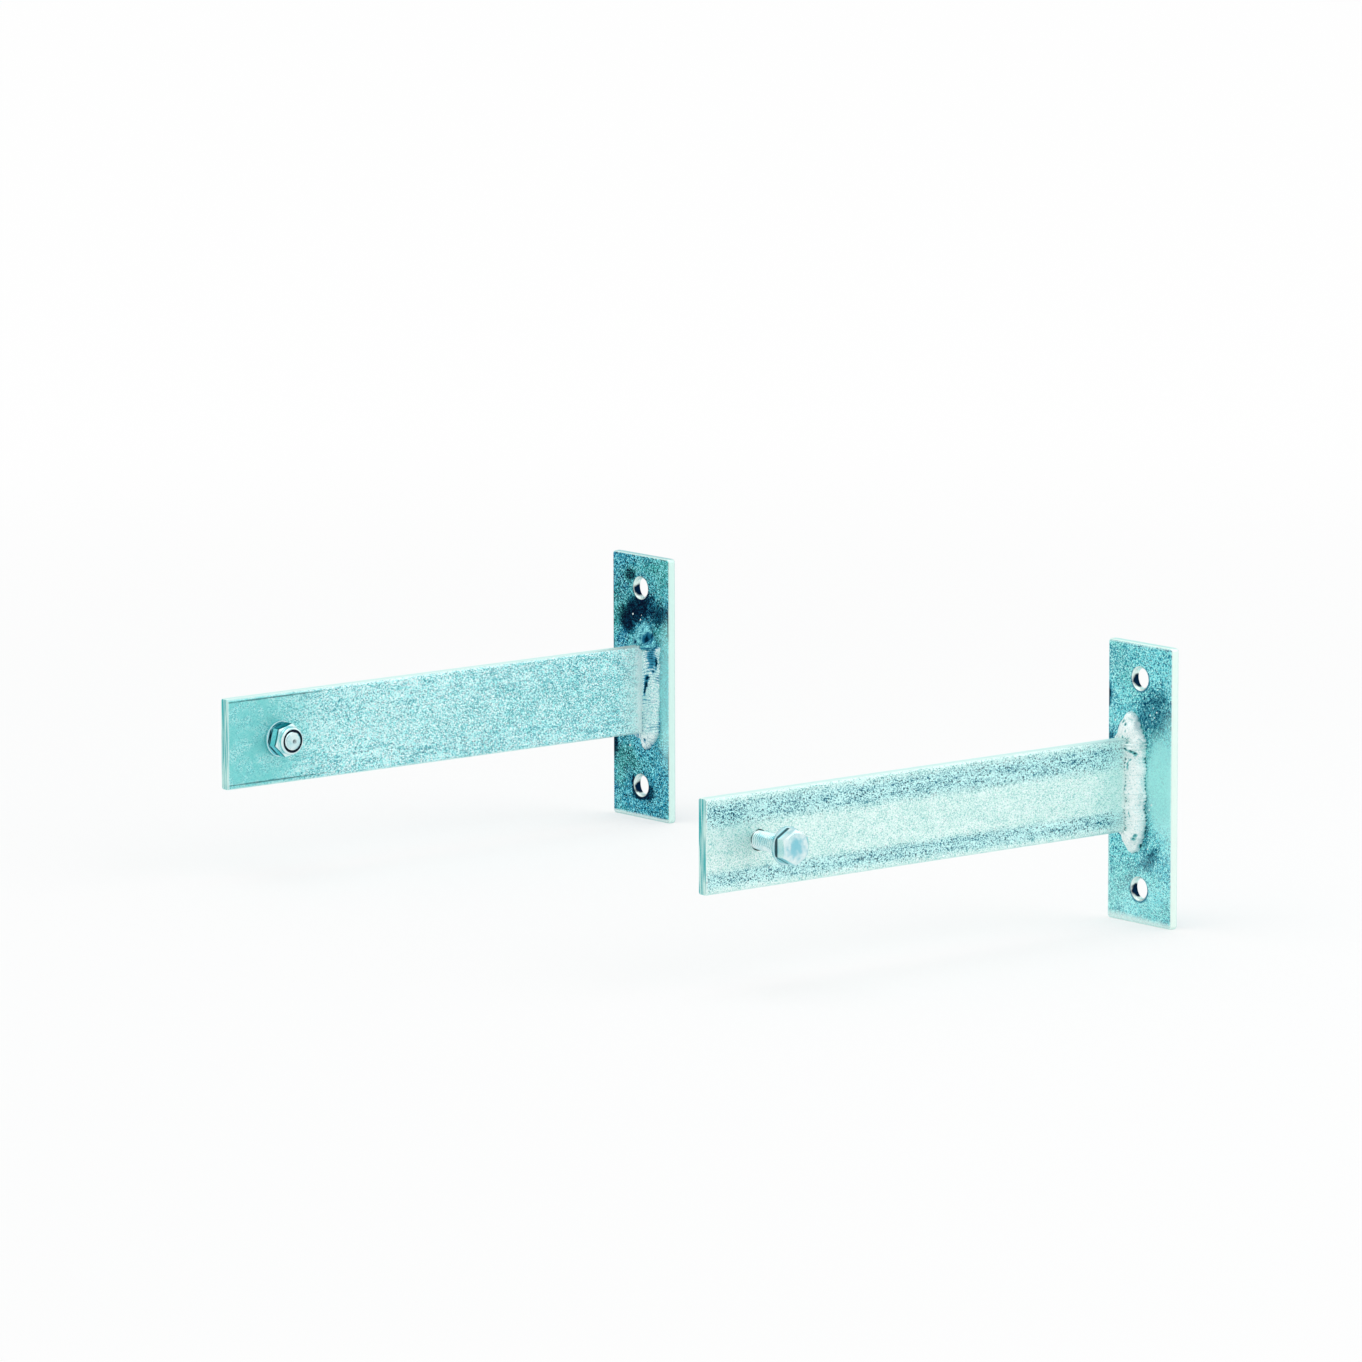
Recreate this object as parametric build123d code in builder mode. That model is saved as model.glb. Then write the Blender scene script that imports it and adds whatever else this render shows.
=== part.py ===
"""A pair of welded steel wall brackets with their clamping bolts, in millimetres.

X runs from the left bracket to the right one, +Y points into the wall, +Z is up. The origin is the centre of the
left plate's wall face. Each bracket is an upright plate on the wall, a flat-bar arm standing out of it on edge, three
weld runs round the joint, and one bolt through the arm's free end, set for a member of clamp_grip thickness that is
held between the arm and the washer under the bolt's head.
"""

import os
from collections import namedtuple
from math import isclose, radians, tan

from build123d import *

# Wall plate: flat bar, cut to length and deburred
plate_width = 40.0
plate_height = 120.0
plate_thickness = 4.0
plate_corner_radius = 1.5
plate_edge_radius = 1.0
wall_hole_diameter = 9.0
wall_hole_inset = 15.0
wall_hole_deburr = 0.8

# Arm: flat bar on edge, butted on the plate and set off its centre line towards the other bracket
arm_length = 236.0
arm_height = 40.0
arm_thickness = 5.0
arm_edge_radius = 1.2
arm_end_radius = 0.6
arm_offset = 4.0
arm_spacing = 325.0

# Welds: a collar of filler round the butted end, laid in three runs
weld_leg = 6.0
weld_toe = 0.8
weld_crown = 0.3
top_run_rise = 10.5
top_run_tip_radius = 2.5
bottom_blob_drop = 9.0
bottom_blob_radius = 4.0
run_overlap = 4.0

# M8 bolt, plain washers and lock nut; walls and clearances are measured on the radius
bolt_diameter = 8.0
bolt_setback = 28.0
bolt_hole_clearance = 0.5
bolt_end_past_nut = 1.25
bolt_tip_chamfer = 1.0
clamp_grip = 17.0
hex_wall = 2.5
hex_face_angle = 30.0
head_turn = 30.0
nut_turn = 15.0
head_height = 5.3
head_face_inset = 0.5
washer_clearance = 0.2
washer_rim = 3.8
washer_thickness = 1.6
washer_edge_chamfer = 0.3
thread_clearance = 0.05
nut_hex_height = 5.5
collar_height = 2.5
collar_wall = 0.6
collar_edge_radius = 0.7
collar_lip = 0.4
collar_lip_clearance = 1.15
insert_wall = 1.4
insert_height = 2.0

# Sizes that follow from those
bolt_y = -(plate_thickness + arm_length - bolt_setback)
bolt_radius = bolt_diameter / 2
thread_bore = bolt_radius + thread_clearance
washer_bore = bolt_radius + washer_clearance
washer_radius = washer_bore + washer_rim
hex_radius = bolt_radius + hex_wall
corner_radius = hex_radius * 2 / 3**0.5
insert_radius = thread_bore + insert_wall
collar_radius = insert_radius + collar_wall
nut_height = nut_hex_height + collar_height

# Depths of the stacked pieces inboard of the arm's clamping face
head_washer_seat = -(clamp_grip + washer_thickness)
head_top = head_washer_seat - head_height
nut_seat = arm_thickness + washer_thickness
insert_seat = nut_seat + nut_height - collar_lip - insert_height
bolt_end = nut_seat + nut_height + bolt_end_past_nut

# plate_x and arm_x are the mid planes; inboard is +1 where the other bracket lies towards +X
Side = namedtuple("Side", "name plate_x arm_x inboard")
right_arm_x = arm_offset + arm_spacing
SIDES = (
    Side("left", 0.0, arm_offset, 1),
    Side("right", right_arm_x + arm_offset, right_arm_x, -1),
)


def out_of_wall(x, depth):
    """A plane facing out of the wall, this far in front of it, with its x and y along X and Z."""
    return Plane((x, -depth, 0), x_dir=(1, 0, 0), z_dir=(0, -1, 0))


def across_arm(side, depth):
    """A plane square to the bolt, facing inboard, at this depth inboard of the arm's clamping face."""
    clamping_face_x = side.arm_x - side.inboard * arm_thickness / 2
    origin = (clamping_face_x + side.inboard * depth, bolt_y, 0)
    return Plane(origin, x_dir=(0, side.inboard, 0), z_dir=(side.inboard, 0, 0))


def along_bolt(side, depth):
    """A plane through the bolt's axis: its x is the radius, its y the distance inboard of this depth."""
    square = across_arm(side, depth)
    return Plane(square.origin, x_dir=square.x_dir, z_dir=square.x_dir.cross(square.z_dir))


def circles(builder, radius):
    """The part's round edges of this radius."""
    rims = builder.edges().filter_by(GeomType.CIRCLE)
    return rims.filter_by(lambda rim: isclose(rim.radius, radius, abs_tol=1e-6))


def make_wall_plate(side):
    with BuildPart() as plate:
        with BuildSketch(out_of_wall(side.plate_x, 0)):
            RectangleRounded(plate_width, plate_height, plate_corner_radius)
        extrude(amount=plate_thickness)
        faces = plate.faces().sort_by(Axis.Y)
        fillet(faces[0].edges() + faces[-1].edges(), plate_edge_radius)
        with BuildSketch(out_of_wall(side.plate_x, 0)):
            with GridLocations(0, plate_height - 2 * wall_hole_inset, 1, 2):
                Circle(wall_hole_diameter / 2)
        extrude(amount=plate_thickness, mode=Mode.SUBTRACT)
        chamfer(circles(plate, wall_hole_diameter / 2), wall_hole_deburr)
    return plate.part


def make_arm(side):
    with BuildPart() as arm:
        with BuildSketch(out_of_wall(side.arm_x, plate_thickness)):
            RectangleRounded(arm_thickness, arm_height, arm_edge_radius)
        extrude(amount=arm_length)
        fillet(arm.faces().sort_by(Axis.Y)[0].edges(), arm_end_radius)
        with BuildSketch(across_arm(side, 0)):
            Circle(bolt_radius + bolt_hole_clearance)
        extrude(amount=arm_thickness, mode=Mode.SUBTRACT)
    return arm.part


def collar_section(plane, half_width, top, top_half, top_crown, bottom, bottom_half, bottom_crown):
    """The weld collar's closed outline on a plane: upright sides, slanting shoulders and an arc over each end.

    The arcs start at the heights top and bottom, half as wide as the two halves say, and rise by their crowns.
    """
    low = -arm_height / 2 + weld_leg
    high = arm_height / 2 - run_overlap
    with BuildSketch(plane) as section:
        with BuildLine():
            Polyline((half_width, low), (half_width, high), (top_half, top))
            ThreePointArc((top_half, top), (0, top + top_crown), (-top_half, top))
            Polyline((-top_half, top), (-half_width, high), (-half_width, low), (-bottom_half, bottom))
            ThreePointArc((-bottom_half, bottom), (0, bottom - bottom_crown), (bottom_half, bottom))
            Line((bottom_half, bottom), (half_width, low))
        make_face()
    return section.sketch


def make_weld_collar(side, arm):
    """All the filler round the arm's end, from its outline on the plate to its toe on the arm."""
    half_arm = arm_height / 2
    on_plate = collar_section(
        out_of_wall(side.arm_x, plate_thickness),
        half_width=arm_thickness / 2 + weld_leg,
        top=half_arm + top_run_rise - top_run_tip_radius,
        top_half=top_run_tip_radius,
        top_crown=top_run_tip_radius,
        bottom=-half_arm - bottom_blob_drop + bottom_blob_radius,
        bottom_half=bottom_blob_radius,
        bottom_crown=bottom_blob_radius,
    )
    on_arm = collar_section(
        out_of_wall(side.arm_x, plate_thickness + weld_leg),
        half_width=arm_thickness / 2 + weld_toe,
        top=half_arm + weld_toe,
        top_half=arm_thickness / 2,
        top_crown=weld_crown,
        bottom=-half_arm - weld_toe,
        bottom_half=arm_thickness / 2,
        bottom_crown=weld_crown,
    )
    with BuildPart() as collar:
        loft([on_plate, on_arm], ruled=True)
        add(arm, mode=Mode.SUBTRACT)
    return collar.part


def make_weld_runs(side, arm):
    """The collar parted into the run over the top and the two side runs, which meet under the arm."""
    collar = make_weld_collar(side, arm)
    run_end = Plane.XY.offset(arm_height / 2 - run_overlap)
    arm_middle = Plane(origin=(side.arm_x, 0, 0), z_dir=(side.inboard, 0, 0))
    with BuildPart() as top_run:
        add(collar)
        split(bisect_by=run_end, keep=Keep.TOP)
    with BuildPart() as inner_run:
        add(collar)
        split(bisect_by=run_end, keep=Keep.BOTTOM)
        split(bisect_by=arm_middle, keep=Keep.TOP)
    with BuildPart() as outer_run:
        add(collar)
        split(bisect_by=run_end, keep=Keep.BOTTOM)
        split(bisect_by=arm_middle, keep=Keep.BOTTOM)
    return top_run.part, inner_run.part, outer_run.part


def bolt_axis(side):
    return Axis(across_arm(side, 0).origin, (side.inboard, 0, 0))


def inboard_face(builder, side):
    """The part's face that lies furthest inboard."""
    return builder.faces().sort_by(Axis.X)[-1 if side.inboard > 0 else 0]


def facing_depth(run):
    """Depth of the turned bevel on a hexagon's corners over this radial run."""
    return run * tan(radians(hex_face_angle))


def make_hexagon(side, depth, height, turn):
    with BuildPart() as hexagon:
        with BuildSketch(across_arm(side, depth)):
            RegularPolygon(hex_radius, 6, major_radius=False, rotation=turn)
        extrude(amount=height)
    return hexagon.part


def make_bolt(side):
    """Hexagon bolt with its head outboard; the thread is a plain cylinder of its outer diameter."""
    face_radius = hex_radius - head_face_inset
    with BuildPart() as bolt:
        add(make_hexagon(side, head_top, head_height, head_turn))
        with BuildSketch(along_bolt(side, head_top)):
            with BuildLine():
                Polyline(
                    (0, 0),
                    (face_radius, 0),
                    (corner_radius, facing_depth(corner_radius - face_radius)),
                    (corner_radius, head_height),
                    (0, head_height),
                    close=True,
                )
            make_face()
        revolve(axis=bolt_axis(side), mode=Mode.INTERSECT)
        with BuildSketch(across_arm(side, head_washer_seat)):
            Circle(bolt_radius)
        extrude(amount=bolt_end - head_washer_seat)
        chamfer(inboard_face(bolt, side).edges(), bolt_tip_chamfer)
    return bolt.part


def make_washer(side, depth):
    with BuildPart() as washer:
        with BuildSketch(across_arm(side, depth)):
            Circle(washer_radius)
            Circle(washer_bore, mode=Mode.SUBTRACT)
        extrude(amount=washer_thickness)
        chamfer(circles(washer, washer_radius), washer_edge_chamfer)
    return washer.part


def make_lock_nut(side):
    """Hexagon nut with a round collar, whose pocket holds the locking insert under a turned-in lip."""
    bevel = facing_depth(corner_radius - hex_radius)
    with BuildPart() as nut:
        add(make_hexagon(side, nut_seat, nut_hex_height, nut_turn))
        with BuildSketch(along_bolt(side, nut_seat)):
            with BuildLine():
                Polyline(
                    (0, 0),
                    (hex_radius, 0),
                    (corner_radius, bevel),
                    (corner_radius, nut_hex_height - bevel),
                    (hex_radius, nut_hex_height),
                    (0, nut_hex_height),
                    close=True,
                )
            make_face()
        revolve(axis=bolt_axis(side), mode=Mode.INTERSECT)
        with BuildSketch(across_arm(side, nut_seat + nut_hex_height)):
            Circle(collar_radius)
        extrude(amount=collar_height)
        fillet(inboard_face(nut, side).edges(), collar_edge_radius)
        with BuildSketch(across_arm(side, nut_seat)):
            Circle(thread_bore)
        extrude(amount=nut_height, mode=Mode.SUBTRACT)
        with BuildSketch(across_arm(side, insert_seat)):
            Circle(insert_radius)
        extrude(amount=insert_height, mode=Mode.SUBTRACT)
        with BuildSketch(across_arm(side, insert_seat + insert_height)):
            Circle(bolt_radius + collar_lip_clearance)
        extrude(amount=collar_lip, mode=Mode.SUBTRACT)
    return nut.part


def make_nylon_insert(side):
    with BuildPart() as insert:
        with BuildSketch(across_arm(side, insert_seat)):
            Circle(insert_radius)
            Circle(thread_bore, mode=Mode.SUBTRACT)
        extrude(amount=insert_height)
    return insert.part


os.makedirs("parts", exist_ok=True)
for side in SIDES:
    arm = make_arm(side)
    top_run, inner_run, outer_run = make_weld_runs(side, arm)
    pieces = {
        "wall_plate": make_wall_plate(side),
        "arm": arm,
        "top_weld": top_run,
        "inner_weld": inner_run,
        "outer_weld": outer_run,
        "bolt": make_bolt(side),
        "head_washer": make_washer(side, head_washer_seat),
        "nut_washer": make_washer(side, arm_thickness),
        "lock_nut": make_lock_nut(side),
        "nylon_insert": make_nylon_insert(side),
    }
    for name, piece in pieces.items():
        node = f"{side.name}_{name}"
        piece.label = node
        export_step(piece, f"parts/{node}.step")
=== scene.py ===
"""Looks of a pair of zinc-plated wall brackets: plated bar, weld beads, threaded bolts and studio light.

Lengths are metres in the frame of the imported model: X runs from the left bracket to the right one, +Y
points into the wall and +Z is up. Plates, arms, washers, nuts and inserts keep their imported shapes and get
a finish here. Welds and bolts are replaced by surfaces worked out from two parameters, and weld spatter is
added.
"""

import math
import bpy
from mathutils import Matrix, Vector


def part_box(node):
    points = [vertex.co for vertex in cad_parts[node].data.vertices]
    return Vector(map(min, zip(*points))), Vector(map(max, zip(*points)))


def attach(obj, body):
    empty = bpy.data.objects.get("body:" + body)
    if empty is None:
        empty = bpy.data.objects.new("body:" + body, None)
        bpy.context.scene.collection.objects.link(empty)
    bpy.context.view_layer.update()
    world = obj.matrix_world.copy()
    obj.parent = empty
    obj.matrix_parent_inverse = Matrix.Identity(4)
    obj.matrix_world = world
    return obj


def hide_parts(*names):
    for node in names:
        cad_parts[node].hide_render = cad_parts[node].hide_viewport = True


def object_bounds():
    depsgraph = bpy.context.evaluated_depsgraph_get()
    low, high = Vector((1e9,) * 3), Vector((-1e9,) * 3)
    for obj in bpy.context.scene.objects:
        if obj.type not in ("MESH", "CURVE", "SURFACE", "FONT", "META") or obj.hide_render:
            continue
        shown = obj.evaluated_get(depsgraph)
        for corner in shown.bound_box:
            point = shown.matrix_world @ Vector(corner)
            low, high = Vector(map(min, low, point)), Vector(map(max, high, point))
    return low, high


bl_info = {
    "name": "Wall Bracket Pair",
    "version": (1, 0, 0),
    "blender": (4, 5, 0),
    "location": "View3D > Sidebar > Bracket",
    "description": "Finishes a pair of plated wall brackets with weld beads, threaded bolts and studio light",
    "category": "Object",
}

from collections import namedtuple

import bmesh
import bpy
import numpy as np
from bpy.props import FloatProperty, FloatVectorProperty, IntProperty, PointerProperty
from mathutils import Matrix, Vector

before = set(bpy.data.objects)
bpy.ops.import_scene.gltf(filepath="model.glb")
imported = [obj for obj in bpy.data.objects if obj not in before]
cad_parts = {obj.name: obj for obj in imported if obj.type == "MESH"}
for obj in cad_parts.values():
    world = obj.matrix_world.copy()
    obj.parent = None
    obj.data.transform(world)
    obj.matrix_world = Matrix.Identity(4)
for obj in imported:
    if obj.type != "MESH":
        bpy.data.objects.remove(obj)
cad_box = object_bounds()

MM = 0.001
Side = namedtuple("Side", "name inboard arm_x plate_x")


def middle(node_name):
    """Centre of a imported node's box."""
    low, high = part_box(node_name)
    return (low + high) / 2


SIDES = tuple(
    Side(name, inboard, middle(f"{name}_arm").x, middle(f"{name}_wall_plate").x)
    for name, inboard in (("left", 1), ("right", -1))
)
ARM_LOW, ARM_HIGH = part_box("left_arm")
PLATE_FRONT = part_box("left_wall_plate")[0].y
MIDDLE = (cad_box[0] + cad_box[1]) / 2
BOLT_AXIS = middle("left_bolt").yz

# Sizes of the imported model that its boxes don't give
HOLE_RADIUS = 4.5 * MM
HOLE_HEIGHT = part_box("left_wall_plate")[1].z - 15 * MM
NUT_SEAT = 4.1 * MM
NUT_HEX_HEIGHT = 5.5 * MM
NUT_BEVEL = 0.9 * MM

# A reach that takes in the whole object
WIDE = 1.0


def paint(red, green, blue):
    """Screen values from 0 to 255 as the linear colour that a shader takes."""
    screen = np.array((red, green, blue)) / 255
    linear = np.where(screen > 0.04045, ((screen + 0.055) / 1.055) ** 2.4, screen / 12.92)
    return tuple(float(value) for value in linear)


def length(name, default, description):
    return FloatProperty(
        name=name, description=description, default=default, min=0, unit="LENGTH", subtype="DISTANCE"
    )


def angle(name, degrees, description):
    return FloatProperty(name=name, description=description, default=math.radians(degrees), subtype="ANGLE")


def power(name, default, description):
    return FloatProperty(name=name, description=description, default=default, min=0, unit="POWER")


def colour(name, default, description):
    return FloatVectorProperty(
        name=name, description=description, default=paint(*default), size=3, min=0, max=1, subtype="COLOR"
    )


class BracketZinc(bpy.types.PropertyGroup):
    """Colours of the plating, some of them painted light and shade, and the size of its crystals"""

    grain: length("Grain", 0.27 * MM, "Width of one zinc crystal")
    # Painted shade: the plates' colours are darker than the arms', though both are the same plating
    left_plate: colour("Left plate", (54, 160, 188), "Plating of the left plate")
    left_plate_deep: colour("Left plate deep", (0, 26, 54), "Darkest crystals on the left plate")
    left_fleck: colour("Left fleck", (156, 242, 248), "Brightest crystals on the left plate")
    right_plate: colour("Right plate", (118, 221, 229), "Plating of the right plate")
    right_plate_deep: colour("Right plate deep", (0, 98, 132), "Darkest crystals on the right plate")
    right_fleck: colour("Right fleck", (190, 253, 250), "Brightest crystals on the right plate")
    green_cast: colour("Green cast", (84, 182, 164), "Greenish drift of the plates' colour")
    blue_cast: colour("Blue cast", (30, 116, 168), "Bluish drift of the plates' colour")
    stain: colour("Stain", (0, 14, 36), "Dark tint that the weld's heat and flux leave")
    bright_patch: colour("Bright patch", (202, 255, 252), "Smooth plating beside the welds")
    # Painted light: the arms' colours are paler than the plates', though both are the same plating
    left_arm: colour("Left arm", (167, 240, 241), "Plating of the left arm")
    left_arm_dots: colour("Left arm dots", (46, 146, 160), "Dark crystals on the left arm")
    # Colours of the left arm's bands, a painted reflection
    left_band: colour("Left band", (164, 240, 240), "Plating in the left arm's bands")
    left_band_dots: colour("Left band dots", (20, 138, 164), "Dark crystals in the left arm's bands")
    left_band_fleck: colour("Left band fleck", (240, 255, 254), "Bright crystals in the left arm's bands")
    right_arm: colour("Right arm", (218, 247, 240), "Plating of the right arm")
    right_arm_dots: colour("Right arm dots", (140, 206, 204), "Dark crystals on the right arm")
    # Colours of the right arm's bands, a painted reflection
    right_band: colour("Right band", (202, 250, 248), "Plating in the right arm's bands")
    right_band_dots: colour("Right band dots", (0, 106, 134), "Dark crystals in the right arm's bands")
    right_band_fleck: colour("Right band fleck", (216, 252, 250), "Bright crystals in the right arm's bands")
    pit: colour("Pit", (0, 66, 88), "Sparse dark pits in the arms' bands")
    arm_fleck: colour("Arm fleck", (244, 255, 254), "Brightest crystals on the arms")
    smooth_end: colour("Smooth end", (122, 211, 210), "Rubbed plating round the left arm's bolt")
    # Partly painted highlight: the plates' sheared sides are painted near white, as if lit
    left_edge: colour("Left edge", (214, 243, 236), "Sheared edges of the left plate")
    right_edge: colour("Right edge", (232, 249, 241), "Sheared edges of the right plate")
    # Rolled edges and burrs, and partly a painted highlight on rims and on the arms' top and bottom faces
    pale_edge_and_highlight: colour("Cut edge", (234, 250, 245), "Rolled edges of the arms, worn rims and burrs")
    # Painted shade: the sawn end faces away from the light and is painted darker
    shaded_end_cut: colour("End cut", (0, 172, 176), "Sawn face at an arm's free end")
    # In the weld colours the shades are painted shade in hollows, and the pit colour the darkest of it
    bead: colour("Weld bead", (248, 255, 253), "Crests of the pale weld beads")
    bead_shade: colour("Weld bead shade", (116, 194, 195), "Hollows of the pale weld beads")
    bead_teal: colour("Teal bead", (194, 241, 237), "Crests of the left bracket's side beads")
    bead_teal_shade: colour("Teal bead shade", (60, 148, 178), "Hollows of the left bracket's side beads")
    # The left top bead's colours are darker than the other beads' by painted shade
    bead_blue: colour("Blue bead", (84, 168, 180), "Crests of the left bracket's top bead")
    bead_blue_shade: colour("Blue bead shade", (28, 104, 136), "Hollows of the left bracket's top bead")
    bead_deep: colour("Weld pit", (0, 34, 58), "Deepest pits of the weld beads")
    fastener: colour("Fastener", (226, 244, 244), "Bolts and nuts")
    washer: colour("Washer", (192, 224, 228), "Washers")
    fastener_tint: colour("Fastener tint", (178, 224, 230), "Bluish clouds on the fasteners")
    # Painted reflections: the nuts' side flats take the arms' pale teal, and their upper flats a dark one
    fastener_flat_reflection: colour("Fastener flat", (172, 240, 246), "Bluish flats of the nuts")
    fastener_top: colour("Fastener top", (16, 104, 112), "Upper flats of the nuts")
    fastener_blue: colour("Fastener blue", (110, 196, 214), "Blue cast on the bolts' faces")
    # Painted shade in the fasteners' grooves and corners, where parts meet
    fastener_dark: colour("Fastener dark", (2, 34, 48), "Grooves and corners of the fasteners")
    # Partly painted shade: the inserts' near-black also stands for the shaded gap round the bolt's end
    nylon: colour("Nylon", (6, 14, 20), "Locking inserts")


class BracketWelds(bpy.types.PropertyGroup):
    """Sizes of the weld beads"""

    leg: length("Leg", 5.5 * MM, "Reach of a side bead along the plate")
    toe: length("Toe", 5.6 * MM, "Reach of the beads along the arm")
    rise: length("Rise", 10.2 * MM, "Reach of the top bead's point above the arm")
    drop: length("Drop", 9.0 * MM, "Reach of the bottom blob below the arm")
    edge_radius: length("Edge radius", 1.2 * MM, "Rounding of the arm's long edges")
    left_run_end: length("Left run end", 2.6 * MM, "How far below the arm's top the left top bead ends")
    right_run_end: length("Right run end", 7.0 * MM, "How far below the arm's top the right top bead ends")
    run_overlap: length("Run overlap", 3.2 * MM, "How far the side beads reach up into the top bead")
    ripple_height: length("Ripple height", 0.05 * MM, "Half the height of a ripple")
    lump_size: length("Lump size", 6.0 * MM, "Distance between the beads' lumps")
    lump_height: length("Lump height", 0.16 * MM, "How far a lump stands out")
    roughness: length("Roughness", 0.05 * MM, "How far the beads' fine bumps stand out")
    sink: length("Sink", 0.3 * MM, "How deep a bead's hidden back lies in the bars")
    spatter_count: IntProperty(name="Spatter", description="Balls on each bracket", default=10, min=0)
    spatter_radius: length("Spatter radius", 0.36 * MM, "Radius of a middling ball of spatter")


class BracketBolts(bpy.types.PropertyGroup):
    """Sizes of the bolts"""

    diameter: length("Diameter", 8.0 * MM, "Outer diameter of the thread")
    pitch: length("Pitch", 1.25 * MM, "Distance from one thread crest to the next")
    thread_depth: length("Thread depth", 0.76 * MM, "Depth of the thread on the radius")
    across_flats: length("Across flats", 13.0 * MM, "Width of the head across its flats")
    head_height: length("Head height", 5.3 * MM, "Height of the head")
    face_inset: length("Face inset", 0.5 * MM, "From a flat to the turned face of the head")
    fillet: length("Fillet", 0.35 * MM, "Rounding under the head")
    tip_chamfer: length("Tip chamfer", 1.0 * MM, "Bevel on the thread's end")
    dimple_radius: length("Dimple radius", 0.9 * MM, "Centre mark on the thread's end")


class BracketStage(bpy.types.PropertyGroup):
    """Camera and light"""

    azimuth: angle("Azimuth", 50.594, "Camera's turn round the brackets")
    elevation: angle("Elevation", 9.230, "Camera's tilt downwards")
    roll: angle("Roll", -0.126, "Camera's turn about its own line of sight")
    camera_place: FloatVectorProperty(
        name="Camera place",
        description="Where the camera stands",
        default=(3.1130, -2.5382, 0.6549),
        size=3,
        unit="LENGTH",
        subtype="TRANSLATION",
    )
    focal_length: FloatProperty(name="Focal length", description="Lens in millimetres", default=238.9, min=1)
    ambient: FloatProperty(
        name="Ambient",
        description="Strength of the light from all round on matt surfaces",
        default=0.77,
        min=0,
        max=1,
        subtype="FACTOR",
    )
    key_power: power("Key power", 11.5, "Lamp beside the right bracket")
    top_power: power("Top power", 9.0, "Lamp overhead")
    floor: colour("Floor", (252, 253, 253), "Pale floor")


def own(group, side, name):
    """The property of this name that belongs to a side."""
    return getattr(group, f"{side.name}_{name}")


# Node helpers


def node(tree, kind, inputs=None, output=0, **settings):
    """Adds a node with these settings, links or fills its inputs, and returns one of its outputs."""
    made = tree.nodes.new(kind)
    for name, value in settings.items():
        setattr(made, name, value)
    for key, value in (inputs or {}).items():
        if isinstance(value, bpy.types.NodeSocket):
            tree.links.new(value, made.inputs[key])
        else:
            made.inputs[key].default_value = value
    return made.outputs[output]


def as_colour(value):
    """A link as it is, and red, green and blue with full alpha added."""
    return value if isinstance(value, bpy.types.NodeSocket) else (*value, 1.0)


def calc(tree, operation, *values):
    return node(tree, "ShaderNodeMath", dict(enumerate(values)), operation=operation)


def vector_calc(tree, operation, *values, output=0):
    return node(tree, "ShaderNodeVectorMath", dict(enumerate(values)), output, operation=operation)


def ease(tree, value, start, end):
    """0 at start and 1 at end, with a smooth step between them."""
    inputs = {"Value": value, "From Min": start, "From Max": end}
    return node(tree, "ShaderNodeMapRange", inputs, interpolation_type="SMOOTHSTEP")


def blend(tree, factor, first, second):
    """first where factor is 0, second where it is 1."""
    # Inputs 6 and 7 and output 2 are the Mix node's colours
    inputs = {0: factor, 6: as_colour(first), 7: as_colour(second)}
    return node(tree, "ShaderNodeMix", inputs, 2, data_type="RGBA")


def coat(tree, surface, *layers):
    """Lays colours over a surface, one after the other. A layer is its mask, its strength and its colour."""
    for mask, strength, layer_colour in layers:
        surface = blend(tree, calc(tree, "MULTIPLY", mask, strength), surface, layer_colour)
    return surface


def widest(tree, masks):
    """The largest of some masks at each place."""
    total = masks[0]
    for mask in masks[1:]:
        total = calc(tree, "MAXIMUM", total, mask)
    return total


def places(tree, stretch=None):
    """Places on the piece, multiplied by stretch where it is given."""
    place = node(tree, "ShaderNodeTexCoord", output="Object")
    return vector_calc(tree, "MULTIPLY", place, stretch) if stretch else place


def along(tree, axis):
    """Places along one axis."""
    return node(tree, "ShaderNodeSeparateXYZ", {0: places(tree)}, axis)


def noise(tree, vector, scale, detail):
    """Smooth noise about 0.5, with this many bumps to a unit of the vector."""
    return node(tree, "ShaderNodeTexNoise", {"Vector": vector, "Scale": scale, "Detail": detail})


def swing(tree, vector, scale, detail):
    """Smooth noise about 0."""
    return calc(tree, "SUBTRACT", noise(tree, vector, scale, detail), 0.5)


SOCKETS = {"value": "NodeSocketFloat", "vector": "NodeSocketVector", "colour": "NodeSocketColor"}


def new_group(name, inputs, outputs):
    """A shader node group: its tree, its inputs by name, and its output node's inputs."""
    tree = bpy.data.node_groups.new(name, "ShaderNodeTree")
    for in_out, sockets in (("INPUT", inputs), ("OUTPUT", outputs)):
        for socket, kind in sockets.items():
            tree.interface.new_socket(socket, in_out=in_out, socket_type=SOCKETS[kind])
    start = tree.nodes.new("NodeGroupInput")
    end = tree.nodes.new("NodeGroupOutput")
    return tree, start.outputs, end.inputs


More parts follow.
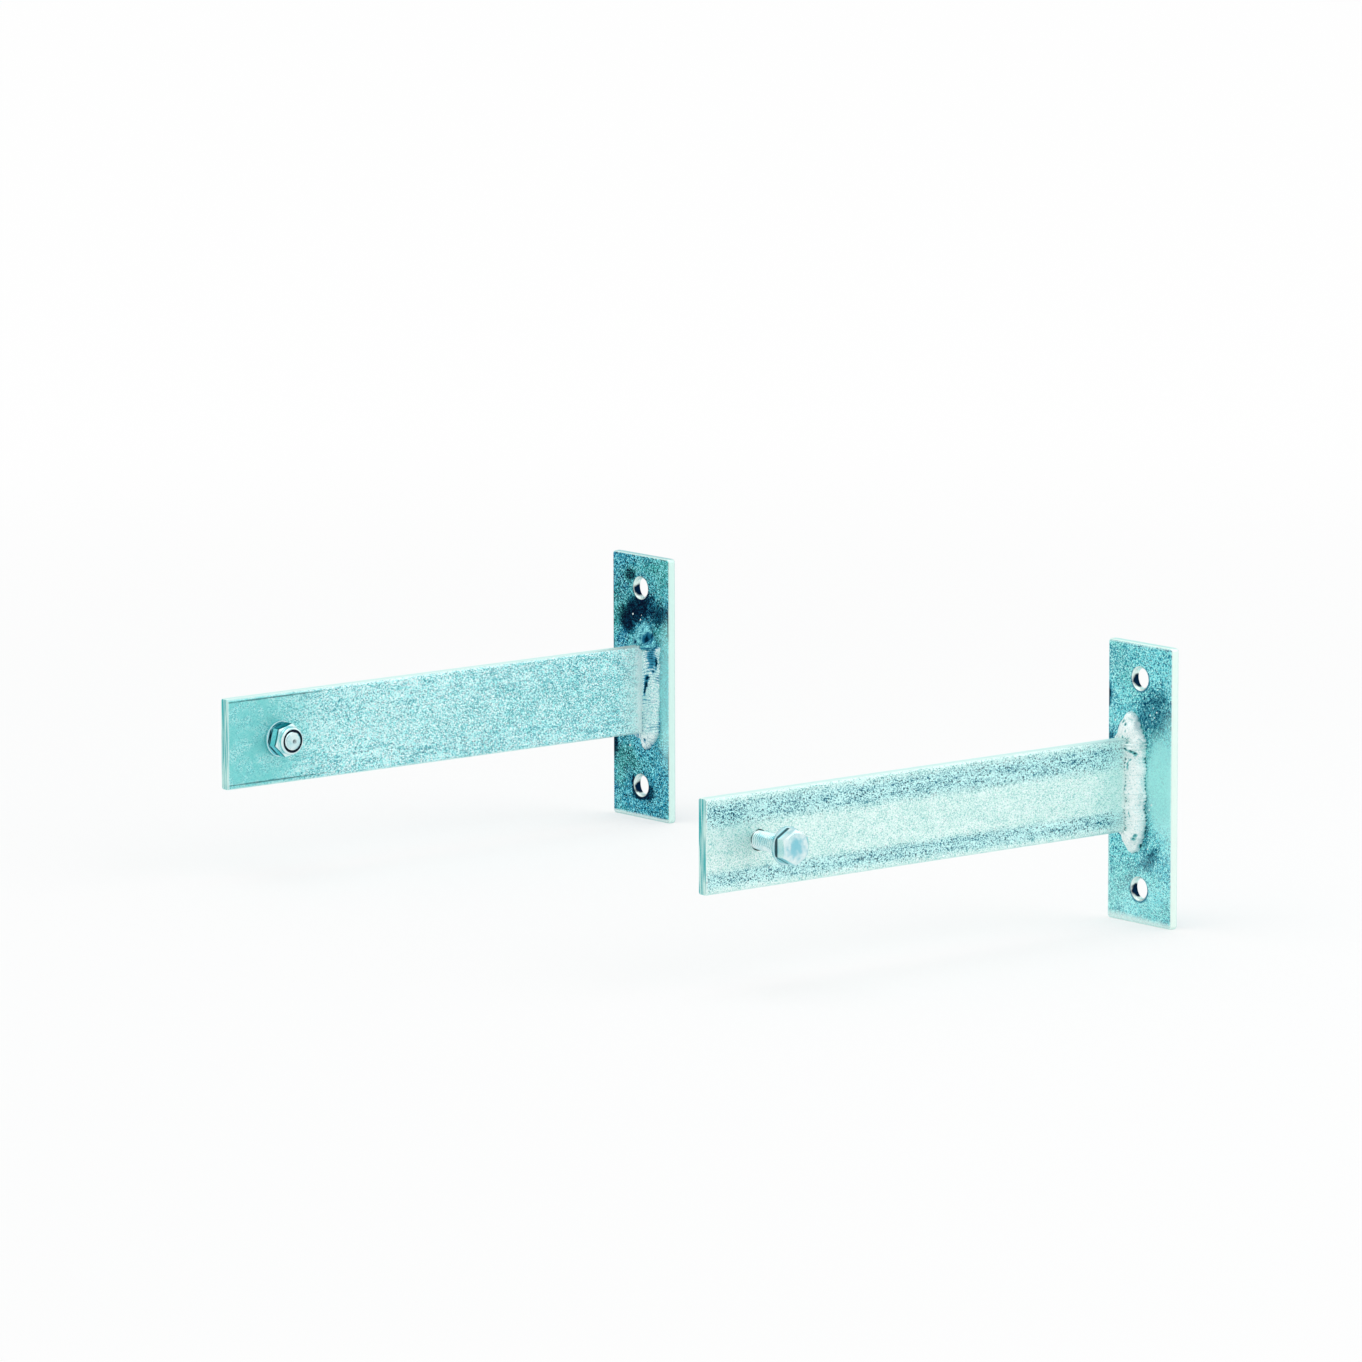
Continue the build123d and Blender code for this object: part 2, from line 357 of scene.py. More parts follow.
def grain_group(name):
    """Zinc crystals: each cell has a random tone, moved by swirled streaks, faint clouds and Shift.

    The cells are Stretch times Size. Low tones take the dark colour, high ones the light one.
    """
    inputs = {
        "Light": "colour",
        "Middle": "colour",
        "Dark": "colour",
        "Size": "value",
        "Stretch": "vector",
        "Streaks": "value",
        "Shift": "value",
    }
    outputs = {"Colour": "colour", "Roughness": "value", "Height": "value"}
    tree, given, result = new_group(name, inputs, outputs)
    size = node(tree, "ShaderNodeCombineXYZ", dict.fromkeys(range(3), given["Size"]))
    scaled = vector_calc(tree, "DIVIDE", places(tree), size)
    stretched = vector_calc(tree, "DIVIDE", scaled, given["Stretch"])
    cells = node(tree, "ShaderNodeTexVoronoi", {"Vector": stretched, "Scale": 1.0}, "Color")
    random = node(tree, "ShaderNodeSeparateColor", {0: cells}).node.outputs
    warp = node(tree, "ShaderNodeTexNoise", {"Vector": scaled, "Scale": 0.08, "Detail": 2.0}, "Color")
    swirled = vector_calc(tree, "MULTIPLY_ADD", warp, (7.0, 7.0, 7.0), scaled)
    streaks = swing(tree, vector_calc(tree, "DIVIDE", swirled, given["Stretch"]), 0.42, 2.0)
    clouds = swing(tree, scaled, 0.05, 2.0)
    tone = calc(tree, "ADD", random[0], given["Shift"])
    tone = calc(tree, "MULTIPLY_ADD", streaks, given["Streaks"], tone)
    tone = calc(tree, "MULTIPLY_ADD", clouds, 0.4, tone)
    shaded = blend(tree, ease(tree, tone, 0.4, 0.12), given["Middle"], given["Dark"])
    tree.links.new(blend(tree, ease(tree, tone, 0.6, 0.88), shaded, given["Light"]), result["Colour"])
    tree.links.new(calc(tree, "MULTIPLY_ADD", random[1], 0.2, 0.32), result["Roughness"])
    tree.links.new(tone, result["Height"])
    return tree


def blot_group(name):
    """A soft-edged ellipse with a ragged rim: 1 inside, 0 outside, turned about Y."""
    vectors = dict.fromkeys(("Centre", "Radii"), "vector")
    values = dict.fromkeys(("Turn", "Ragged", "Softness"), "value")
    tree, given, result = new_group(name, {**vectors, **values}, {"Mask": "value"})
    place = places(tree)
    from_centre = vector_calc(tree, "SUBTRACT", place, given["Centre"])
    turn = {"Vector": from_centre, "Angle": given["Turn"]}
    turned = node(tree, "ShaderNodeVectorRotate", turn, rotation_type="Y_AXIS")
    shares = vector_calc(tree, "DIVIDE", turned, given["Radii"])
    distance = vector_calc(tree, "LENGTH", shares, output="Value")
    ragged = calc(tree, "MULTIPLY_ADD", swing(tree, place, 420.0, 4.0), given["Ragged"], distance)
    outer = calc(tree, "ADD", 1.0, given["Softness"])
    inner = calc(tree, "SUBTRACT", 1.0, given["Softness"])
    tree.links.new(ease(tree, ragged, outer, inner), result["Mask"])
    return tree


def facing_group(name):
    """1 on surfaces that face the direction, 0 on those that turn away by about half a right angle."""
    tree, given, result = new_group(name, {"Direction": "vector"}, {"Mask": "value"})
    normal = node(tree, "ShaderNodeTexCoord", output="Normal")
    towards = vector_calc(tree, "DOT_PRODUCT", normal, given["Direction"], output="Value")
    tree.links.new(ease(tree, towards, 0.72, 0.93), result["Mask"])
    return tree


def rim_group(name):
    """1 along the edges of a box and 0 away from them, by the second smallest distance to its faces."""
    inputs = {"Low": "vector", "High": "vector", "Width": "value"}
    tree, given, result = new_group(name, inputs, {"Mask": "value"})
    place = places(tree)
    above = vector_calc(tree, "SUBTRACT", place, given["Low"])
    below = vector_calc(tree, "SUBTRACT", given["High"], place)
    nearest = vector_calc(tree, "MINIMUM", above, below)
    x, y, z = node(tree, "ShaderNodeSeparateXYZ", {0: nearest}).node.outputs
    larger = calc(tree, "MINIMUM", calc(tree, "MAXIMUM", x, y), z)
    second = calc(tree, "MAXIMUM", calc(tree, "MINIMUM", x, y), larger)
    uneven = calc(tree, "MULTIPLY", noise(tree, place, 260.0, 4.0), given["Width"])
    width = calc(tree, "MULTIPLY_ADD", uneven, 1.5, calc(tree, "MULTIPLY", given["Width"], 0.25))
    tree.links.new(ease(tree, second, width, 0.0), result["Mask"])
    return tree


GROUP_MAKERS = {"zinc grain": grain_group, "blot": blot_group, "facing": facing_group, "rim": rim_group}


def use_group(tree, name, inputs):
    """Places a shared node group, which is built the first time it is asked for, and returns its outputs."""
    shared = bpy.data.node_groups.get(name) or GROUP_MAKERS[name](name)
    return node(tree, "ShaderNodeGroup", inputs, node_tree=shared).node.outputs


def grain(tree, zinc, light, plain, dark, streaks, shift, stretch):
    """Zinc grain in these colours: its colour, roughness and height."""
    inputs = {
        "Light": as_colour(light),
        "Middle": as_colour(plain),
        "Dark": as_colour(dark),
        "Size": zinc.grain,
        "Stretch": stretch,
        "Streaks": streaks,
        "Shift": shift,
    }
    return use_group(tree, "zinc grain", inputs)


def blot(tree, centre, radii, softness, ragged=0.0, turn=0.0):
    """1 inside a soft-edged ellipsoid, 0 outside it."""
    inputs = {"Centre": centre, "Radii": radii, "Softness": softness, "Ragged": ragged, "Turn": turn}
    return use_group(tree, "blot", inputs)["Mask"]


def facing(tree, *directions):
    """1 on surfaces that face one of the directions."""
    return widest(tree, [use_group(tree, "facing", {"Direction": towards})["Mask"] for towards in directions])


def rim(tree, node_name, width):
    """1 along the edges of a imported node's box."""
    low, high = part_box(node_name)
    return use_group(tree, "rim", {"Low": low, "High": high, "Width": width})["Mask"]


def new_material(name, metallic, specular, slant):
    """An empty material, its tree, and its shader's inputs. slant tints what it reflects at a slant."""
    material = bpy.data.materials.new(name)
    material.use_nodes = True
    shader = material.node_tree.nodes["Principled BSDF"].inputs
    shader["Metallic"].default_value = metallic
    shader["Specular IOR Level"].default_value = specular
    shader["Specular Tint"].default_value = as_colour(slant)
    return material, material.node_tree, shader


def finish(tree, shader, surface, roughness, height, depth, strength):
    """Links a finish to its shader. The bumps are as deep as depth, and weakened by strength."""
    tree.links.new(surface, shader["Base Color"])
    tree.links.new(roughness, shader["Roughness"])
    bump = node(tree, "ShaderNodeBump", {"Height": height, "Distance": depth, "Strength": strength})
    tree.links.new(bump, shader["Normal"])


# Marks on the plates. x and z are millimetres from the plate's centre; turn is in degrees about Y.
Mark = namedtuple("Mark", "x z half_x half_z turn strength ragged softness")
STAINS = {
    "left": (
        Mark(-2.5, 35.4, 11, 6, 28, 1.0, 0.9, 0.5),
        Mark(-9.5, 30, 5, 6, 40, 1.0, 0.9, 0.6),
        Mark(11, 34.5, 11, 4.5, 0, 0.7, 0.9, 0.8),
        Mark(-7, 50.5, 4, 2.5, 10, 0.75, 0.9, 0.5),
        Mark(-14, 44, 7, 9, 0, 0.1, 0.8, 0.9),
        Mark(-18.5, -28, 2.2, 6, 0, 0.9, 0.8, 0.5),
        Mark(-9, -36, 11, 6, -35, 0.25, 0.8, 0.8),
        Mark(6, -47.8, 3.6, 3.4, 0, 0.85, 1.3, 0.6),
        Mark(-1, -50, 5.5, 1.6, 0, 0.8, 0.5, 0.4),
        Mark(-5.4, -45, 1.1, 5, 0, 0.8, 0.5, 0.4),
        Mark(19.8, 32, 1.0, 8.5, 0, 0.9, 0.6, 0.4),
        Mark(19.8, -30, 0.9, 6, 0, 0.9, 0.6, 0.4),
        Mark(-20, 30, 1.0, 32, 0, 0.5, 0.8, 0.5),
    ),
    "right": (
        Mark(10.5, 31.5, 11, 10, 0, 0.5, 0.8, 0.5),
        Mark(12, 36.5, 6.5, 4.5, 20, 0.65, 0.8, 0.8),
        Mark(11, 31, 6, 3.2, 10, 0.65, 0.8, 0.8),
        Mark(-19.5, 36, 1.6, 5, 0, 0.9, 0.8, 0.5),
        Mark(-18, 17, 2.4, 4, 0, 0.6, 0.8, 0.5),
        Mark(7, -31.5, 6.5, 3.2, 45, 0.6, 0.8, 0.6),
        Mark(-4, -39, 10, 1.6, 38, 0.35, 0.8, 0.7),
        Mark(4, -18, 2.0, 12, 0, 0.35, 0.8, 0.7),
    ),
}
BRIGHT_PATCHES = {
    "left": (Mark(18.5, -2, 6, 27, 0, 0.75, 0.3, 0.5),),
    "right": (
        Mark(14, 1, 10, 20.5, 0, 0.85, 0.3, 0.3),
        Mark(21, 0, 8, 24, 0, 1.0, 0.3, 0.7),
        Mark(-4, -50, 26, 14, 0, 0.3, 0.8, 0.9),
    ),
}
# Pale strips along the plates' edges: burrs, and partly a painted highlight along the rims
EDGE_BURRS_AND_HIGHLIGHTS = {
    "left": (Mark(0, -60.2, 60, 2.0, 0, 0.85, 0.5, 0.3),),
    "right": (
        Mark(2, -60.6, 60, 3.2, -2, 0.8, 0.6, 0.45),
        Mark(0, 61, 60, 2.0, 0, 0.5, 0.8, 0.4),
        Mark(-20.5, -30, 1.8, 40, 0, 0.5, 0.5, 0.4),
    ),
}
# How strongly the plates' colour drifts
CAST = {"left": 0.7, "right": 0.4}
# Round a screw hole: the bright burr, a painted shadow line outside it, and the painted shadow in the bore,
# with their offsets
BURR = HOLE_RADIUS + 0.75 * MM
BURR_RADII = (BURR, WIDE, BURR)
SHADOW_LINE_RADII = (BURR + 0.5 * MM, WIDE, BURR + 0.4 * MM)
SHADOW_LINE_OFFSET = (0.2 * MM, 0, -0.45 * MM)
SHADOW_RADII = (3.0 * MM, 2.4 * MM, 3.0 * MM)
SHADOW_OFFSET = (-3.9 * MM, 2.4 * MM, -1.5 * MM)


def mark_mask(tree, mark, side):
    centre = (side.plate_x + mark.x * MM, PLATE_FRONT, mark.z * MM)
    radii = (mark.half_x * MM, WIDE, mark.half_z * MM)
    mask = blot(tree, centre, radii, mark.softness, mark.ragged, math.radians(mark.turn))
    return calc(tree, "MULTIPLY", mask, mark.strength)


def hole_mask(tree, side, radii, offset=(0, 0, 0), softness=0.03, ragged=0.0):
    """1 within an ellipsoid at each of a plate's two screw holes, moved by the offset."""
    centres = [(side.plate_x, PLATE_FRONT, sign * HOLE_HEIGHT) for sign in (1, -1)]
    return widest(
        tree, [blot(tree, Vector(centre) + Vector(offset), radii, softness, ragged) for centre in centres]
    )


def plate_material(side, zinc):
    """Streaky zinc with smooth patches beside the weld, dark stains, bright edges and bored holes.

    The bright edges and rims are partly painted highlight; a painted shadow line and a painted shadow mark
    each hole.
    """
    plain = own(zinc, side, "plate")
    deep = own(zinc, side, "plate_deep")
    material, tree, shader = new_material(f"{side.name} plate zinc", 0.85, 0.2, plain)
    front = facing(tree, (0, -1, 0))

    def spread(marks):
        masks = [mark_mask(tree, mark, side) for mark in marks[side.name]]
        return calc(tree, "MULTIPLY", widest(tree, masks), front)

    stained = spread(STAINS)
    bright = spread(BRIGHT_PATCHES)
    cast = CAST[side.name]
    greenish = ease(tree, noise(tree, places(tree), 45.0, 2.0), 0.4, 0.65)
    bluish = ease(tree, noise(tree, places(tree), 70.0, 3.0), 0.52, 0.7)
    tone = coat(tree, plain, (greenish, cast, zinc.green_cast), (bluish, cast, zinc.blue_cast))
    surface, roughness, height = grain(
        tree,
        zinc,
        own(zinc, side, "fleck"),
        coat(tree, tone, (stained, 0.85, deep)),
        blend(tree, stained, deep, zinc.stain),
        streaks=0.5,
        shift=calc(tree, "MULTIPLY_ADD", stained, -0.5, calc(tree, "MULTIPLY", bright, 0.15)),
        stretch=(1.4, 1, 1.6),
    )
    # The plate's thin sides, painted near white: partly a painted highlight
    edge = calc(tree, "SUBTRACT", 1.0, facing(tree, (0, -1, 0), (0, 1, 0)))
    surface = coat(
        tree,
        surface,
        (bright, 0.9, zinc.bright_patch),
        (spread(EDGE_BURRS_AND_HIGHLIGHTS), 1.0, zinc.pale_edge_and_highlight),
        (edge, 1.0, own(zinc, side, "edge")),
        # Painted highlight along the plate's rims
        (rim(tree, f"{side.name}_wall_plate", 0.9 * MM), 0.5, zinc.pale_edge_and_highlight),
        # Painted shadow line round each hole
        (hole_mask(tree, side, SHADOW_LINE_RADII, SHADOW_LINE_OFFSET, 0.06, 0.3), 0.8, deep),
        (hole_mask(tree, side, BURR_RADII), 1.0, zinc.pale_edge_and_highlight),
        # Painted shadow in each bore, in the left plate's darkest colour
        (hole_mask(tree, side, SHADOW_RADII, SHADOW_OFFSET, 0.25, 0.9), 1.0, zinc.left_plate_deep),
    )
    finish(tree, shader, surface, roughness, height, 0.08 * MM, 0.5)
    return material


# Darker bands of painted reflection along the arms: z and half height in millimetres, strength and raggedness
ReflectionBand = namedtuple("ReflectionBand", "z half strength ragged")
REFLECTION_BANDS = {
    "left": (ReflectionBand(11.5, 5.5, 0.4, 0.6), ReflectionBand(-12.5, 4.5, 0.55, 0.6)),
    "right": (ReflectionBand(13, 5.0, 1.0, 0.5), ReflectionBand(-14.2, 3.3, 0.95, 0.5)),
}
# How much darker the grain is in the painted reflection bands
REFLECTION_BAND_SHIFT = {"left": 0.0, "right": -0.1}
# Stretches of the arms that are lighter or darker: middle and half lengths in millimetres, and change of tone
Stretch = namedtuple("Stretch", "y z half_y half_z change")
STRETCHES = {
    "left": (
        Stretch(-158, 4, 48, 26, 0.05),
        # A painted highlight along the left arm's top, near its free end
        Stretch(-150, 16, 26, 5, 0.07),
        Stretch(-50, 0, 40, 8, -0.06),
    ),
    "right": (),
}
# Where the plating grows paler towards the weld, and where the weld's white lip begins and is full
ROOT_START = PLATE_FRONT - 20 * MM
ROOT_END = PLATE_FRONT - 6 * MM
LIP_START = PLATE_FRONT - 9 * MM
LIP_END = PLATE_FRONT - 6.5 * MM
# Where the left arm begins to be rubbed smooth, and where it fully is
RUB_START = ARM_LOW.y + 60 * MM
RUB_END = ARM_LOW.y + 20 * MM
# Thin lines along the left arm's free end, where the rolled edges begin
ROLLING_LINE_HEIGHTS = (ARM_HIGH.z - 1.5 * MM, ARM_LOW.z + 2.0 * MM)
ROLLING_LINE_MIDDLE = ARM_LOW.y + 22 * MM
ROLLING_LINE_RADII = (WIDE, 30 * MM, 0.32 * MM)
# Bumps to a metre of the arms' long streaks, and of the saw marks on their ends
STREAK_SCALE = (200.0, 60.0, 450.0)
SAW_SCALE = (1900.0, 300.0, 45.0)
PIT_SIZE = (0.9 * MM, 1.1 * MM, 0.9 * MM)


def reflection_band_mask(tree, side, band):
    centre = (side.arm_x, PLATE_FRONT, band.z * MM)
    mask = blot(tree, centre, (WIDE, WIDE, band.half * MM), 0.6, band.ragged)
    return calc(tree, "MULTIPLY", mask, band.strength)


def arm_shift(tree, side, in_reflection_band):
    """Change of the grain's tone: darker in the bands of painted reflection, by stretches of the arm,
    and in long streaks.
    """
    shift = calc(tree, "MULTIPLY", in_reflection_band, REFLECTION_BAND_SHIFT[side.name])
    for stretch in STRETCHES[side.name]:
        centre = (side.arm_x, stretch.y * MM, stretch.z * MM)
        mask = blot(tree, centre, (WIDE, stretch.half_y * MM, stretch.half_z * MM), 0.9, 0.8)
        shift = calc(tree, "MULTIPLY_ADD", mask, stretch.change, shift)
    streaks = swing(tree, places(tree, STREAK_SCALE), 1.0, 3.0)
    return calc(tree, "MULTIPLY_ADD", streaks, calc(tree, "MULTIPLY_ADD", in_reflection_band, 0.6, 0.3), shift)


def wavy_step(tree, scale, height, start, end):
    """0 at start and 1 at end along Y, with a limit that noise makes wavy."""
    waves = swing(tree, places(tree), scale, 3.0)
    return ease(tree, calc(tree, "MULTIPLY_ADD", waves, height, along(tree, "Y")), start, end)


def pit_mask(tree, in_reflection_band):
    """1 in sparse small pits, the middles of a few of many cells, mostly in the painted reflection bands."""
    spread = vector_calc(tree, "DIVIDE", places(tree), PIT_SIZE)
    cells = node(tree, "ShaderNodeTexVoronoi", {"Vector": spread, "Scale": 1.0}).node.outputs
    chosen = node(tree, "ShaderNodeSeparateColor", {0: cells["Color"]}, "Green")
    in_middle = ease(tree, cells["Distance"], 0.5, 0.3)
    pits = calc(tree, "MULTIPLY", in_middle, calc(tree, "LESS_THAN", chosen, 0.2))
    return calc(tree, "MULTIPLY", pits, calc(tree, "MULTIPLY_ADD", in_reflection_band, 0.8, 0.15))


def rubbed_layers(tree, side, zinc):
    """Plating rubbed unevenly smooth round the bolt, and a thin broken line along each rolled edge."""
    rubbed = wavy_step(tree, 90.0, 0.03, RUB_START, RUB_END)
    uneven = ease(tree, noise(tree, places(tree), 170.0, 4.0), 0.35, 0.65)
    layers = [(rubbed, calc(tree, "MULTIPLY_ADD", uneven, 0.4, 0.5), zinc.smooth_end)]
    for height in ROLLING_LINE_HEIGHTS:
        centre = (side.arm_x, ROLLING_LINE_MIDDLE, height)
        layers.append((blot(tree, centre, ROLLING_LINE_RADII, 0.5, 1.6), 0.6, zinc.left_plate_deep))
    return layers


def arm_material(side, zinc):
    """Sandy zinc in bands of painted reflection along the bar, rubbed smooth at the left arm's free end.

    Its edges and its top and bottom faces are bright with painted highlight, and its sawn end takes painted
    shade.
    """
    material, tree, shader = new_material(f"{side.name} arm zinc", 0.7, 0.3, zinc.left_arm)
    in_reflection_band = widest(tree, [reflection_band_mask(tree, side, band) for band in REFLECTION_BANDS[side.name]])
    surface, roughness, height = grain(
        tree,
        zinc,
        blend(tree, in_reflection_band, zinc.arm_fleck, own(zinc, side, "band_fleck")),
        blend(tree, in_reflection_band, own(zinc, side, "arm"), own(zinc, side, "band")),
        blend(tree, in_reflection_band, own(zinc, side, "arm_dots"), own(zinc, side, "band_dots")),
        streaks=0.12,
        shift=arm_shift(tree, side, in_reflection_band),
        stretch=(1, 1.5, 1),
    )
    saw_marks = ease(tree, noise(tree, places(tree, SAW_SCALE), 1.0, 1.0), 0.45, 0.58)
    surface = coat(
        tree,
        surface,
        (pit_mask(tree, in_reflection_band), 1.0, zinc.pit),
        (ease(tree, along(tree, "Y"), ROOT_START, ROOT_END), 0.4, zinc.pale_edge_and_highlight),
        (wavy_step(tree, 500.0, 0.008, LIP_START, LIP_END), 0.6, zinc.bead),
        *(rubbed_layers(tree, side, zinc) if side.name == "left" else ()),
        # Painted highlight on the arms' top and bottom faces and along their edges
        (facing(tree, (0, 0, 1), (0, 0, -1)), 1.0, zinc.pale_edge_and_highlight),
        (rim(tree, f"{side.name}_arm", 1.1 * MM), 0.7, zinc.pale_edge_and_highlight),
        # Painted shade on the sawn end, with pale saw marks in the left plate's edge colour
        (facing(tree, (0, -1, 0)), 0.9, blend(tree, saw_marks, zinc.shaded_end_cut, zinc.left_edge)),
    )
    finish(tree, shader, surface, roughness, height, 0.08 * MM, 0.5)
    return material


def weld_material(name, zinc, crest, shade, fleck, specks):
    """Plated weld metal: bright crests, and painted shade in hollows and pits from the bead's attribute."""
    material, tree, shader = new_material(name, 0.5, 0.3, shade)
    dots = Vector(crest).lerp(Vector(shade), specks)
    surface, roughness, height = grain(tree, zinc, fleck, crest, dots, 0.3, 0.1, (1.2, 1.2, 1.2))
    # The bead's attribute gives each point's painted shade
    dip = node(tree, "ShaderNodeAttribute", output="Fac", attribute_name="hollow_shade")
    depth = calc(tree, "MULTIPLY_ADD", swing(tree, places(tree), 1300.0, 3.0), 0.5, dip)
    lower_end = ease(tree, along(tree, "Z"), ARM_LOW.z + 4 * MM, ARM_LOW.z - 2 * MM)
    spots = ease(tree, noise(tree, places(tree), 1700.0, 2.0), 0.6, 0.68)
    surface = coat(
        tree,
        surface,
        (lower_end, 0.6, zinc.bead),
        (spots, 0.7, shade),
        # Painted shade in the hollows, and in the deepest dents the pit colour
        (ease(tree, depth, 0.15, 0.55), 1.0, shade),
        (ease(tree, depth, 0.6, 0.95), 1.0, zinc.bead_deep),
    )
    finish(tree, shader, surface, roughness, height, 0.06 * MM, 0.5)
    return material


# A tint on a fastener: its centre along X, its reach along X and off the bolt's axis, its colour and
# strength, and how soft and ragged its rim is. Where it has a direction, it keeps to surfaces that face it.
Tint = namedtuple("Tint", "x reach_x reach colour strength softness ragged facing", defaults=(0.5, None))
ROUND_ABOUT = "round about"
# The upper flat of each nut, which takes a painted dark reflection
UPPER_FLAT = (0, -0.26, 0.97)
SCRATCH_SCALE = (900.0, 3500.0, 3500.0)


def tint_mask(tree, tint):
    centre = (tint.x, *BOLT_AXIS)
    mask = blot(tree, centre, (tint.reach_x, tint.reach, tint.reach), tint.softness, tint.ragged)
    if tint.facing is None:
        return mask
    if tint.facing == ROUND_ABOUT:
        turned = calc(tree, "SUBTRACT", 1.0, facing(tree, (1, 0, 0), (-1, 0, 0)))
    else:
        turned = facing(tree, tint.facing)
    return calc(tree, "MULTIPLY", mask, turned)


def fastener_material(name, zinc, tone, tints=()):
    """Bright plated steel with faint bluish clouds, tints and fine scratches.

    Some of the tints are painted reflections and some are painted shade.
    """
    material, tree, shader = new_material(name, 1.0, 0.5, zinc.fastener_tint)
    clouds = ease(tree, noise(tree, places(tree), 260.0, 3.0), 0.35, 0.8)
    surface = blend(tree, clouds, tone, zinc.fastener_tint)
    surface = coat(tree, surface, *[(tint_mask(tree, tint), tint.strength, tint.colour) for tint in tints])
    scratches = noise(tree, places(tree, SCRATCH_SCALE), 1.0, 3.0)
    roughness = calc(tree, "MULTIPLY_ADD", scratches, 0.16, 0.08)
    finish(tree, shader, surface, roughness, scratches, 0.02 * MM, 0.3)
    return material


def nylon_material(zinc):
    """Dull dark nylon, a little mottled, and darker still as painted shade in the gap round the bolt."""
    material, tree, shader = new_material("nylon", 0.0, 0.15, zinc.fastener)
    mottle = noise(tree, places(tree), 1800.0, 3.0)
    surface = blend(tree, mottle, zinc.nylon, zinc.left_plate_deep)
    finish(tree, shader, surface, calc(tree, "MULTIPLY_ADD", mottle, 0.2, 0.4), mottle, 0.02 * MM, 0.3)
    return material


def give(node_name, material):
    """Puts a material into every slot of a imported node."""
    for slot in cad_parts[node_name].material_slots:
        slot.material = material


# Surfaces


def wander(points, size, seed):
    """A smooth random field that swings about 1 either way: plane waves of about this size, at all angles."""
    waves = 14
    rng = np.random.default_rng(seed)
    directions = rng.normal(size=(waves, points.shape[-1]))
    directions /= np.linalg.norm(directions, axis=1, keepdims=True)
    wavelengths = size * rng.uniform(0.7, 1.6, size=(waves, 1))
    phases = rng.uniform(0, 2 * np.pi, size=waves)
    turns = points @ (directions / wavelengths).T * 2 * np.pi + phases
    return np.cos(turns).sum(axis=-1) / math.sqrt(waves / 2)


def shell_faces(rows, columns):
    """Faces of a closed shell: rings joined row to row, and fans on two poles that follow the last ring."""
    ring = np.arange(rows * columns).reshape(rows, columns)
    ahead = np.roll(ring, -1, axis=1)
    sides = np.stack([ring[:-1], ahead[:-1], ahead[1:], ring[1:]], axis=-1).reshape(-1, 4)
    start = np.full(columns, rows * columns)
    first_cap = np.stack([ahead[0], ring[0], start], axis=-1)
    last_cap = np.stack([ring[-1], ahead[-1], start + 1], axis=-1)
    return sides, np.concatenate([first_cap, last_cap])


def add_piece(name, points, faces, material, body, stands_for=()):
    """A mesh piece that rides on a body, with its faces turned outwards."""
    mesh = bpy.data.meshes.new(name)
    mesh.from_pydata(points.tolist(), [], faces)
    shell = bmesh.new()
    shell.from_mesh(mesh)
    bmesh.ops.recalc_face_normals(shell, faces=shell.faces)
    shell.to_mesh(mesh)
    shell.free()
    mesh.materials.append(material)
    mesh.shade_smooth()
    piece = bpy.data.objects.new(name, mesh)
    bpy.context.scene.collection.objects.link(piece)
    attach(piece, body)
    if stands_for:
        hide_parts(*stands_for)
    return piece


def walk(stops, step, spread):
    """Even steps from stop to stop of a run. A turn on the spot counts as an arc of radius spread."""
    stops = np.array(stops)
    change = np.diff(stops, axis=0)
    lengths = np.hypot(change[:, 0], change[:, 1]) + np.abs(change[:, 2]) * spread
    reached = np.concatenate([[0.0], np.cumsum(lengths)])
    travel = np.linspace(0, reached[-1], int(reached[-1] / step))
    return travel, np.stack([np.interp(travel, reached, column) for column in stops.T], axis=1)


# One weld run. seed is that of its first random field, and its other fields add a number to it. tint is how
# dark the painted shade in the troughs between its ripples is, and toes how dark the painted shade at its
# toes is. A dent has its inboard offset, height, half width, half height and depth in millimetres, and it
# takes painted shade with its depth. reach is a share of the longest reach. power shapes the toe on the
# plate: 1 is pointed, 2 round. end is the length of the rounded ends and pitch the distance between ripples,
# in millimetres. bulge gives heights (millimetres) and the roundness of the section there: 2 is round, 1
# flat, more is full. back is how far the lower end reaches under the arm, in millimetres. leg and toe are
# shares of the beads' usual ones. A notch takes a depth (millimetres) off the reach about an angle, over a
# half width, both in degrees. The defaults are those of a short plain run.
FULL_ENDS = ((-19, 2.2), (-13, 1.7), (12, 1.7), (18, 2.0))
Run = namedtuple(
    "Run",
    "seed tint toes dents reach power end pitch bulge back leg toe notch",
    defaults=(0.4, 1.5, 2.0, 1.3, FULL_ENDS, 0, 1.0, 1.0, (0, 0, 1)),
)
BETWEEN_RUNS = ((-3.3, 15.6, 0.6, 0.6, 0.7), (-4.7, 14.6, 0.7, 0.6, 0.7), (-6.0, 13.6, 0.6, 0.6, 0.7))
